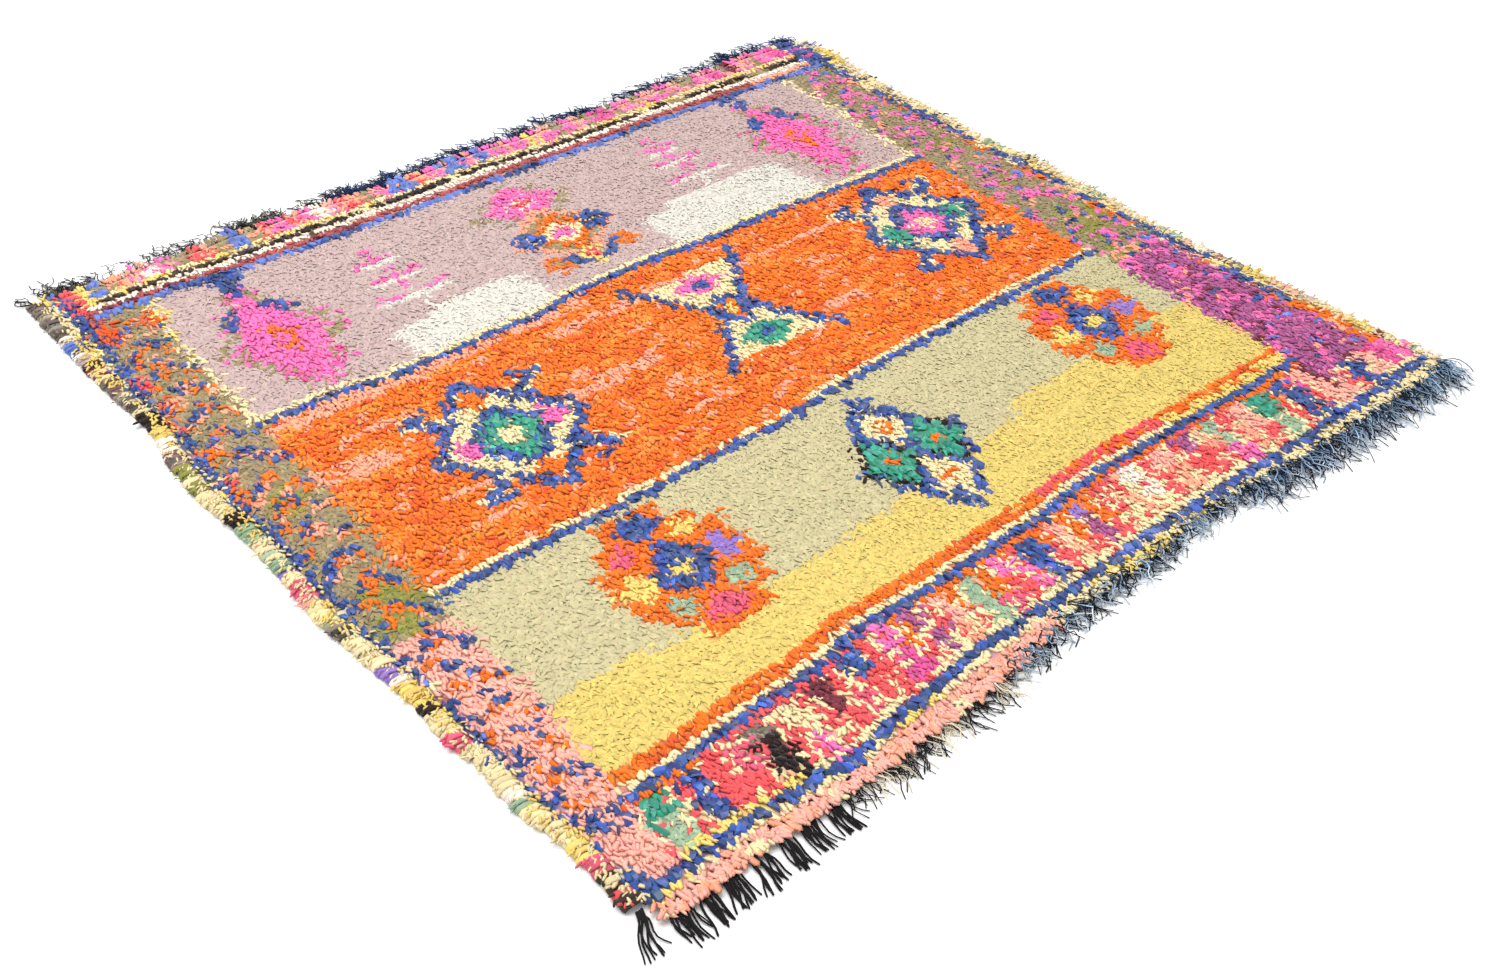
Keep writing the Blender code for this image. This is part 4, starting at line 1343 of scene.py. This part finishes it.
def make_pile():
    """All knots of the rug, as one mesh for each band of rows."""
    places = np.concatenate([NEAR_ROLL, np.arange(KNOT_ROWS) + ROW_START, FAR_ROLL])
    columns = (np.arange(KNOT_COLUMNS) + 0.5) / KNOT_COLUMNS
    across, place = np.meshgrid(columns, places)
    stagger = np.where(np.arange(len(places)) % 2 == 0, 0.25, -0.25)
    across = (across + stagger[:, None] / KNOT_COLUMNS).ravel()
    place = place.ravel()
    kept = (place > WIDE_ROLL_TOP) | (across * RUG_WIDTH - RUG_WIDTH / 2 < WIDE_ROLL_STOP)
    across, place = across[kept], place[kept]
    loom = place * ROW_PITCH - LOOM_RIM
    x, y = knot_places(across, loom)
    x = x + rng.normal(0, KNOT_NUDGE, len(x))
    yarn = read_chart(x + rng.normal(0, CHART_NUDGE, len(x)), y - FALL)
    y = y + rng.normal(0, KNOT_NUDGE, len(y))
    to_side = np.minimum(across, 1 - across) * RUG_WIDTH
    to_end = np.maximum(LOOM_RIM - np.abs(loom), 0.0)
    height = pile_height(x, y, np.minimum(to_side, to_end))
    lean = np.where(place > KNOT_ROWS - 0.2, 0.5 * math.pi, -0.5 * math.pi)
    kinds = YARN_KINDS[yarn]
    bands = np.clip(place * PILE_BANDS / KNOT_ROWS, 0, PILE_BANDS - 1).astype(int)
    pieces = []
    for band in range(PILE_BANDS):
        strips = Strips()
        for kind, cut in CUTS.items():
            chosen = (bands == band) & (kinds == kind)
            if chosen.any():
                lay_ends(strips, cut, x[chosen], y[chosen], height[chosen], yarn[chosen],
                         cut.slot, lean[chosen])
        piece = strips.make(f"pile_band_{band + 1}", [MATERIALS[kind] for kind in SLOTS])
        print(piece.name, "ends", strips.count, "triangles", strips.triangles())
        pieces.append(piece)
    return pieces


pile_bands = make_pile()

# %% [markdown]
# The side cords are overcast: a rag strip goes over the edge, under it and up again,
# once for each row or so. The wraps are short arches that lean a little, in whatever
# rag was at hand, and on top of them the last knots of each row spill over the edge in
# cream and yellow tufts. The colours follow a table of places along the edge.

# %% Side edges
EDGE_SHADE = 0.88
WRAP_PITCH = 0.0088
SELVEDGE_HEIGHT = 0.0105
WRAP_SECTION = ((0.10, 0.0024), (0.04, 0.0070), (0.26, 0.0098), (0.60, 0.0100), (0.88, 0.0074),
                (1.00, 0.0040), (0.92, 0.0022))
WRAP_WIDTH = 0.0098
WRAP_THICK = 0.0034
WRAP_LEAN = 0.0060
TWEED_TONES = (0.5, 1.0, 1.7)
ROUND_PROFILE = ((0.5, 0.0), (0.25, 0.45), (-0.25, 0.45), (-0.5, 0.0), (-0.25, -0.45),
                 (0.25, -0.45))
LEFT_RAGS = ((0.74, "tweed"), (0.61, "ivory"), (0.59, "periwinkle"), (0.57, "ivory"),
             (0.548, "mauve"), (0.53, "black"), (0.512, "maroon"), (0.495, "cream"),
             (0.465, "tweed"), (0.385, "cream"), (0.368, "black"), (0.340, "butter"),
             (0.300, "ivory"), (0.265, "tweed"), (0.245, "olive"), (0.210, "cream"),
             (0.195, "olive"), (0.170, "cream"), (0.105, "black"), (0.075, "mint"),
             (0.035, "cream"), (0.000, "mint"), (-0.03, "lavender"), (-0.05, "cream"),
             (-0.065, "rose"), (-0.085, "blush"), (-0.11, "cream"), (-0.14, "black"),
             (-0.16, "tweed"), (-0.18, "cream"), (-0.25, "lavender"), (-0.27, "ivory"),
             (-0.29, "butter"), (-0.33, "black"), (-0.35, "cream"), (-0.385, "rose"),
             (-0.41, "cream"), (-0.49, "ivory"), (-0.512, "mint"), (-0.53, "cream"),
             (-0.60, "butter"), (-0.63, "rose"), (-0.642, "cream"), (-0.66, "brown"),
             (-0.672, "mint"), (-0.682, "coral"), (-0.692, "brown"), (-0.705, "cream"))
RIGHT_RAGS = ((0.74, "cream"), (0.70, "periwinkle"), (0.67, "butter"), (0.60, "ivory"),
              (0.53, "black"), (0.515, "cream"), (0.46, "tweed"), (0.44, "ivory"),
              (0.38, "cream"), (0.33, "black"), (0.31, "cream"), (0.24, "ivory"),
              (0.19, "mint"), (0.15, "cream"), (0.11, "tweed"), (0.08, "ivory"),
              (0.02, "cream"), (-0.04, "mint"), (-0.08, "cream"), (-0.14, "ivory"),
              (-0.20, "cream"), (-0.23, "mint"), (-0.25, "blush"), (-0.27, "ivory"),
              (-0.31, "tweed"), (-0.38, "butter"), (-0.43, "blush"), (-0.48, "mauve"),
              (-0.52, "cream"), (-0.60, "butter"), (-0.63, "maroon"), (-0.64, "cream"),
              (-0.67, "pink"), (-0.685, "mint"), (-0.70, "ivory"))


def rag_along(table, y, wander):
    """Yarn number of the rag used at each place along an edge."""
    tops = np.array([-row[0] for row in table])
    number = np.clip(np.searchsorted(tops, -(y + wander), side="right") - 1, 0, len(table) - 1)
    names = np.array([YARN_NUMBER[row[1]] for row in table])
    return names[number]


def edge_places(side, rows):
    """Heights of evenly spaced places along a side edge, and their shares of the length."""
    share_side = 0.0 if side < 0 else 1.0
    near, far = end_y(-1, share_side, BAND_WIDTH), end_y(1, share_side, BAND_WIDTH)
    along = (np.arange(rows) + 0.5) / rows
    return near + (far - near) * along, along


def lay_wraps(strips, side, table):
    """Arches of rag over the side cord."""
    count = int(RUG_LENGTH / WRAP_PITCH)
    y, along = edge_places(side, count)
    y = y + rng.normal(0, 0.0006, count)
    inner = side_x(side, along, SELVEDGE_WIDTH)
    outer = side_x(side, along, 0.0008) + side * rng.normal(0, 0.0012, count)
    steps = len(WRAP_SECTION)
    share = np.array([row[0] for row in WRAP_SECTION])
    level = np.array([row[1] for row in WRAP_SECTION])
    rings = np.zeros((count, steps, 3))
    swell = np.exp(rng.normal(0, 0.08, count))[:, None]
    rings[:, :, 0] = inner[:, None] + (outer - inner)[:, None] * share
    rings[:, :, 1] = y[:, None] + WRAP_LEAN * (share - 0.5) + rng.normal(0, 0.0004, (count, steps))
    rings[:, :, 2] = level * np.where(level > 0.005, swell, 1.0)
    way = np.gradient(rings, axis=1)
    way /= np.linalg.norm(way, axis=2, keepdims=True)
    lengthwise = np.zeros_like(rings)
    lengthwise[:, :, 1] = 1.0
    up = np.cross(way, lengthwise)
    up /= np.linalg.norm(up, axis=2, keepdims=True)
    across = np.cross(up, way)
    width = WRAP_WIDTH * np.exp(rng.normal(0, 0.10, (count, 1))) * np.ones((1, steps))
    thick = np.full((count, steps), WRAP_THICK)
    root = rings[:, 0] - way[:, 0] * 0.0010
    tip = rings[:, -1] + way[:, -1] * 0.0010
    yarn = rag_along(table, y, rng.normal(0, 0.006, count))
    tint = dye(yarn, count) * EDGE_SHADE
    speck = yarn == YARN_NUMBER["tweed"]
    tint[speck] *= rng.choice(TWEED_TONES, (speck.sum(), 1))
    colours = np.repeat(tint[:, None, :], steps + 2, axis=1)
    strips.lay(rings, across, up, width, thick, ROUND_PROFILE, (root, tip), colours, 0)


EDGE_CUTS = {"rag": Cut(0, 3, 0.0044, 0.0018, 0.0112, 0.60, 0.30, 2, 0.0060, 0.0006),
             "fine": Cut(1, 5, 0.0032, 0.0012, 0.0105, 0.60, 0.30, 1, 0.0060, 0.0006),
             "satin": Cut(2, 2, 0.0074, 0.0022, 0.0115, 0.40, 0.30, 3, 0.0060, 0.0006)}
# Rows of tufts on each edge: share of its width, number of tufts, and whether they take
# the colours of the wraps.
EDGE_TUFTS = {-1: ((0.12, 130, False), (0.40, 130, False), (0.72, 80, True)),
              1: ((0.12, 130, False), (0.40, 100, False), (0.74, 60, True))}
YELLOW_WAVES = {-1: (29.0, 0.35), 1: (31.0, 0.75)}


def guard_yarns(side, y):
    """Cream and yellow of the outermost knots, with more yellow at the left edge's top."""
    beat, limit = YELLOW_WAVES[side]
    wave = np.sin(y * beat + side) + rng.normal(0, 0.25, len(y))
    yarn = np.where(wave > limit, YARN_NUMBER["butter"], YARN_NUMBER["cream"])
    if side < 0:
        yarn = np.where((y > 0.30) & (y < 0.60) & (wave > -0.6), YARN_NUMBER["butter"], yarn)
    return yarn


def lay_edge_tufts(strips, side, table, share, rows, mottled):
    """Rag ends that spill over the wraps, at a share of the edge's width."""
    y, along = edge_places(side, rows)
    y = y + rng.normal(0, 0.002, rows)
    inner, outer = side_x(side, along, SELVEDGE_WIDTH), side_x(side, along, 0.0)
    x = inner + (outer - inner) * (share + rng.normal(0, 0.06, rows))
    yarn = rag_along(table, y, rng.normal(0, 0.006, rows)) if mottled else guard_yarns(side, y)
    if side < 0 and share > 0.2:
        yarn = np.where(y > 0.615, YARN_NUMBER["tweed"], yarn)
    height = np.full(rows, SELVEDGE_HEIGHT * (1.24 - 0.34 * share))
    lean = -math.pi / 2 + side * (0.30 + 0.75 * share) + np.zeros(rows)
    for kind, cut in EDGE_CUTS.items():
        chosen = YARN_KINDS[yarn] == kind
        if chosen.any():
            lay_ends(strips, cut, x[chosen], y[chosen], height[chosen], yarn[chosen],
                     cut.slot + 1, lean[chosen], EDGE_SHADE)


def make_side_edge(name, node, side, table):
    """One overcast edge: its wraps, and the tufts that lie over them."""
    strips = Strips()
    lay_wraps(strips, side, table)
    for share, rows, mottled in EDGE_TUFTS[side]:
        lay_edge_tufts(strips, side, table, share, rows, mottled)
    piece = strips.make(name, [MATERIALS["wrap"]] + [MATERIALS[kind] for kind in SLOTS])
    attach(piece, "root")
    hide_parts(node)
    print(name, "triangles", strips.triangles())
    return piece


left_edge = make_side_edge("overcast_edge_left", "selvedge_left", -1, LEFT_RAGS)
right_edge = make_side_edge("overcast_edge_right", "selvedge_right", 1, RIGHT_RAGS)

# %% [markdown]
# When the rug is cut from the loom, the warp ends are left hanging past a few plain
# picks. The near black ends stay in thick straight locks. The others come untwisted and
# frizz, each single yarn its own way. Each strand of the frame becomes several thin
# yarns on about the same path, so the fringe keeps its place and gets finer. The colour
# of a yarn changes along the end, in most rows from darker at the root to lighter at the
# tip, and in each bunch a share of the yarns is dark all along. A few longer locks hang
# at the corners.

# %% Fringe
# A row of warp ends: the frame's node, near (-1) or far (1) end, first and last column of
# the pile, strands for each column and each bunch, their length, lean and curl, the slot,
# then the yarns of a strand: number, thickness, how wild they wave, how far they fan out,
# how far a bunch draws together, how much the tone differs, the colours at root, middle
# and tip, the colour of the dark ones, and the locks as place, length, heading, number
# of yarns and fan.
Row = namedtuple("Row", "name end first last per_column bunch length lean curl slot yarns thick "
                 "wild fan draw tone root middle tip mixed locks")
FRINGES = [Row(*row) for row in (
    ("fringe_near_black", -1, 0, 7, 3, 3, 0.056, -0.10, 0.0016, "warp_black", 4, 0.0031, 0.0013,
     0.13, 0.45, 0.22, (22, 18, 19), (18, 15, 16), (22, 18, 20), None,
     ((-0.805, 0.048, -0.30, 7, 0.16),)),
    ("fringe_near_mixed", -1, 7, 15, 3, 3, 0.044, 0.04, 0.0034, "warp_mixed", 8, 0.0020, 0.0052,
     0.42, 0.16, 0.25, (190, 174, 146), (210, 196, 170), (222, 210, 188), (26, 22, 23), ()),
    ("fringe_near_grey", -1, 15, 30, 3, 4, 0.037, 0.05, 0.0026, "warp_grey", 9, 0.0020, 0.0095,
     0.74, 0.10, 0.34, (13, 26, 48), (136, 160, 184), (216, 223, 229), (10, 18, 36), ()),
    ("fringe_near_indigo", -1, 30, 44, 3, 4, 0.058, -0.06, 0.0014, "warp_indigo", 11, 0.0020,
     0.0095, 0.60, 0.10, 0.34, (10, 24, 48), (120, 146, 174), (210, 219, 227), (10, 22, 46),
     ((0.800, 0.058, 0.22, 24, 0.28), (0.812, 0.042, 0.45, 12, 0.28))),
    ("fringe_far_black", 1, 0, 14, 2, 3, 0.046, 0.06, 0.0026, "warp_black", 12, 0.0019, 0.0056,
     0.50, 0.20, 0.34, (24, 22, 22), (27, 26, 27), (34, 34, 38), (84, 80, 72),
     ((-0.765, 0.062, -0.02, 14, 0.12), (-0.748, 0.042, 0.30, 6, 0.2),
      (-0.800, 0.034, -0.40, 6, 0.2))),
    ("fringe_far_indigo", 1, 14, 44, 2, 4, 0.048, 0.05, 0.0018, "warp_indigo", 11, 0.0019, 0.0056,
     0.46, 0.20, 0.34, (14, 32, 70), (24, 50, 96), (46, 78, 122), (12, 22, 46),
     ((0.798, 0.046, 0.20, 14, 0.3), (0.780, 0.056, 0.0, 14, 0.3))))]
STRAND_WIDTH = 0.0050
LENGTH_SPREAD = 0.20
YARN_RINGS = 8
TURNS = 1.3
FRIZZ_LEVEL = 0.003
FRIZZY_REACH = (0.50, 1.16)
PLAIN_REACH = (0.86, 1.06)
FRIZZY_WAVES = (1.4, 4.2)
PLAIN_WAVES = (1.0, 2.0)
YARN_INSET = 0.0075
YARN_RISE = 0.0032
DARK_SHARES = {"warp_mixed": (0.90, 0.20, 0.85), "warp_grey": (0.40, 0.50),
               "warp_indigo": (0.42, 0.52), "warp_black": (0.45, 0.55)}
FAR_BUSY = ((-0.80, 0.9), (-0.74, 0.9), (-0.70, 0.35), (-0.50, 0.45), (-0.46, 1.4), (-0.20, 1.3),
            (-0.15, 0.9), (0.80, 0.9))
PICKS = 4
PICK_LEVEL = 0.0031
PICK_WEAVE = 0.0007
PICK_THICK = 0.0030
PICK_COLOUR = (190, 176, 150)
PICK_SHADE = 0.8
FOUR_SIDES = ((0.5, 0.0), (0.0, 0.5), (-0.5, 0.0), (0.0, -0.5))
FIVE_SIDES = tuple((0.5 * math.cos(2 * math.pi * side / 5), 0.5 * math.sin(2 * math.pi * side / 5))
                   for side in range(5))


def end_span(end):
    """Left and right limits of the pile at one end."""
    share_end = 0.0 if end < 0 else 1.0
    inset = SELVEDGE_WIDTH + GAP
    return side_x(-1, share_end, inset), side_x(1, share_end, inset)


def strand_run(row, number, total):
    """Sideways and outward run of one strand of the frame, and its length."""
    bunch = number // row.bunch
    first = bunch * row.bunch
    middle_number = (first + min(first + row.bunch, total) - 1) / 2
    draw = (middle_number - number) * RUG_WIDTH / PILE_COLUMNS / row.per_column * row.draw
    wander = noise.noise(Vector((bunch * 1.7, row.first * 0.37, row.end * 2.0)))
    lean = (row.lean + 0.22 * wander) * row.length
    own = noise.noise(Vector((number * 0.83, row.first * 0.51, row.end * 3.0)))
    length = row.length * (1 + LENGTH_SPREAD * (wander + own))
    return bunch, draw, lean, length


def warp_yarn(row, x0, y0, sideways, length, bunch, curl_phase, fan):
    """Ring centres and colours of one thin yarn of the fringe."""
    share = np.linspace(0.0, 1.0, YARN_RINGS)
    frizzy = row.wild > FRIZZ_LEVEL
    reach = length * rng.uniform(*(FRIZZY_REACH if frizzy else PLAIN_REACH))
    heading = rng.normal(0, fan)
    angle = 2 * math.pi * (curl_phase + TURNS * share) + rng.uniform(0, 6.0)
    loose = STRAND_WIDTH * 0.34 * (1 - 0.25 * share)
    waves = rng.uniform(*(FRIZZY_WAVES if frizzy else PLAIN_WAVES))
    bow = row.wild * np.sin(waves * math.pi * share + rng.uniform(0, 6.28)) * np.sqrt(share)
    curl = row.curl * np.sin(2.6 * math.pi * share + bunch) * share
    x = x0 + sideways * smooth(share) + curl + loose * np.cos(angle) + bow
    x = x + math.sin(heading) * reach * share
    back = row.wild * 0.5 * np.sin(waves * 1.7 * math.pi * share + curl_phase * 9) * share
    outward = math.cos(heading) * reach * share - YARN_INSET * (1 - share) + back
    y = y0 + row.end * outward
    hump = row.wild * 1.1 * rng.random() * np.sin(math.pi * share)
    z = YARN_RISE * (1 - share) + row.thick * 0.55 + hump
    z = z + 0.55 * loose * (1 + np.sin(angle)) * (1 - 0.4 * share)
    dark_shares = DARK_SHARES[row.slot]
    if row.mixed is not None and rng.random() < dark_shares[bunch % len(dark_shares)]:
        shades = [to_linear(row.mixed)] * 3
    else:
        shades = [to_linear(row.root), to_linear(row.middle), to_linear(row.tip)]
    fade = np.linspace(-0.1, 1.0, YARN_RINGS + 2)
    channels = np.array(shades).T
    tint = np.stack([np.interp(fade, (0.0, 0.5, 1.0), channel) for channel in channels], 1)
    return np.stack([x, y, z], 1), np.clip(tint * math.exp(rng.normal(0, row.tone)), 0.0, 0.9)


def yarn_ways(rings):
    """Directions along many yarns, and level directions across them."""
    way = np.gradient(rings, axis=1)
    way /= np.linalg.norm(way, axis=2, keepdims=True)
    return way, np.cross(np.broadcast_to(UPRIGHT, way.shape), way)


def lay_fringe(strips, row):
    """Thin yarns on the path of each strand, and the locks at the corners."""
    roots = [(column + (place + 0.5) / row.per_column) / PILE_COLUMNS
             for column in range(row.first, row.last) for place in range(row.per_column)]
    left, right = end_span(row.end)
    pitch = RUG_WIDTH / PILE_COLUMNS / row.per_column
    rings, colours = [], []
    for number, root in enumerate(roots):
        bunch, draw, lean, length = strand_run(row, number, len(roots))
        x0, y0 = left + (right - left) * root, end_y(row.end, root, 0.0)
        frizzy = row.wild > FRIZZ_LEVEL
        clumps = 1 + 1.3 * noise.noise(Vector((x0 * 17.0, row.end * 5.0, 0.5)))
        busy = np.interp(x0, *zip(*FAR_BUSY)) * clumps if row.end > 0 else 1.0
        for order in range(round(row.yarns * busy * rng.uniform(0.7, 1.3))):
            spread = pitch * rng.uniform(-0.6, 0.6) if frizzy else draw + rng.normal(0, 0.0012)
            made = warp_yarn(row, x0 + spread, y0, lean + (draw if frizzy else 0.0), length, bunch,
                             order / row.yarns, row.fan)
            rings.append(made[0])
            colours.append(made[1])
    for x0, length, heading, count, fan in row.locks:
        y0 = end_y(row.end, x0 / RUG_WIDTH + 0.5, 0.002)
        for order in range(count):
            made = warp_yarn(row, x0 + rng.normal(0, 0.004), y0, math.sin(heading) * length, length,
                             0, order / count, fan)
            rings.append(made[0])
            colours.append(made[1])
    rings, colours = np.array(rings), np.array(colours)
    count = len(rings)
    share = np.linspace(0.0, 1.0, YARN_RINGS)
    way, across = yarn_ways(rings)
    across /= np.linalg.norm(across, axis=2, keepdims=True)
    up = np.cross(way, across)
    girth = row.thick * np.exp(rng.normal(0, 0.14, (count, 1))) * (1 - 0.25 * share)
    root_points = rings[:, 0] - way[:, 0] * 0.0012
    tip_points = rings[:, -1] + way[:, -1] * 0.0016
    strips.lay(rings, across, up, girth, girth, FOUR_SIDES, (root_points, tip_points), colours, 0)
    return count


def lay_picks(strips, row):
    """Plain picks of weft along the end, which hold the warp."""
    left, right = end_span(row.end)
    steps = (row.last - row.first) * 6 + 1
    roots = np.linspace(row.first, row.last, steps) / PILE_COLUMNS
    rings = []
    for pick in range(PICKS):
        inset = BAND_WIDTH * (0.12 + 0.25 * pick)
        x = left + (right - left) * roots
        x[0] += GAP
        x[-1] -= GAP
        weave = PICK_WEAVE * np.where(np.arange(steps) % 2 == pick % 2, 1.0, -1.0)
        rings.append(np.stack([x, end_y(row.end, roots, inset), PICK_LEVEL + weave], 1))
    rings = np.array(rings)
    way, across = yarn_ways(rings)
    up = np.cross(way, across)
    girth = np.full(rings.shape[:2], PICK_THICK)
    tint = np.broadcast_to(to_linear(PICK_COLOUR) * PICK_SHADE, (PICKS, steps + 2, 3))
    ends = (rings[:, 0] - way[:, 0] * 0.0001, rings[:, -1] + way[:, -1] * 0.0001)
    strips.lay(rings, across, up, girth, girth, FIVE_SIDES, ends, tint, 0)


def make_fringe(row):
    """Warp ends of one colour, with the picks that hold them."""
    strips = Strips()
    count = lay_fringe(strips, row)
    lay_picks(strips, row)
    piece = strips.make(row.name.replace("fringe", "warp_ends"), [MATERIALS["warp"]])
    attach(piece, "root")
    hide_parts(row.name)
    print(piece.name, "yarns", count, "triangles", strips.triangles())
    return piece


fringes = [make_fringe(row) for row in FRINGES]

# %% [markdown]
# The cloth, the knots, the edges and the fringe all belong to one body, because a rug
# lies still.

# %% One body
for piece in [ground] + pile_bands:
    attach(piece, "root")
    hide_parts("knotted_pile")
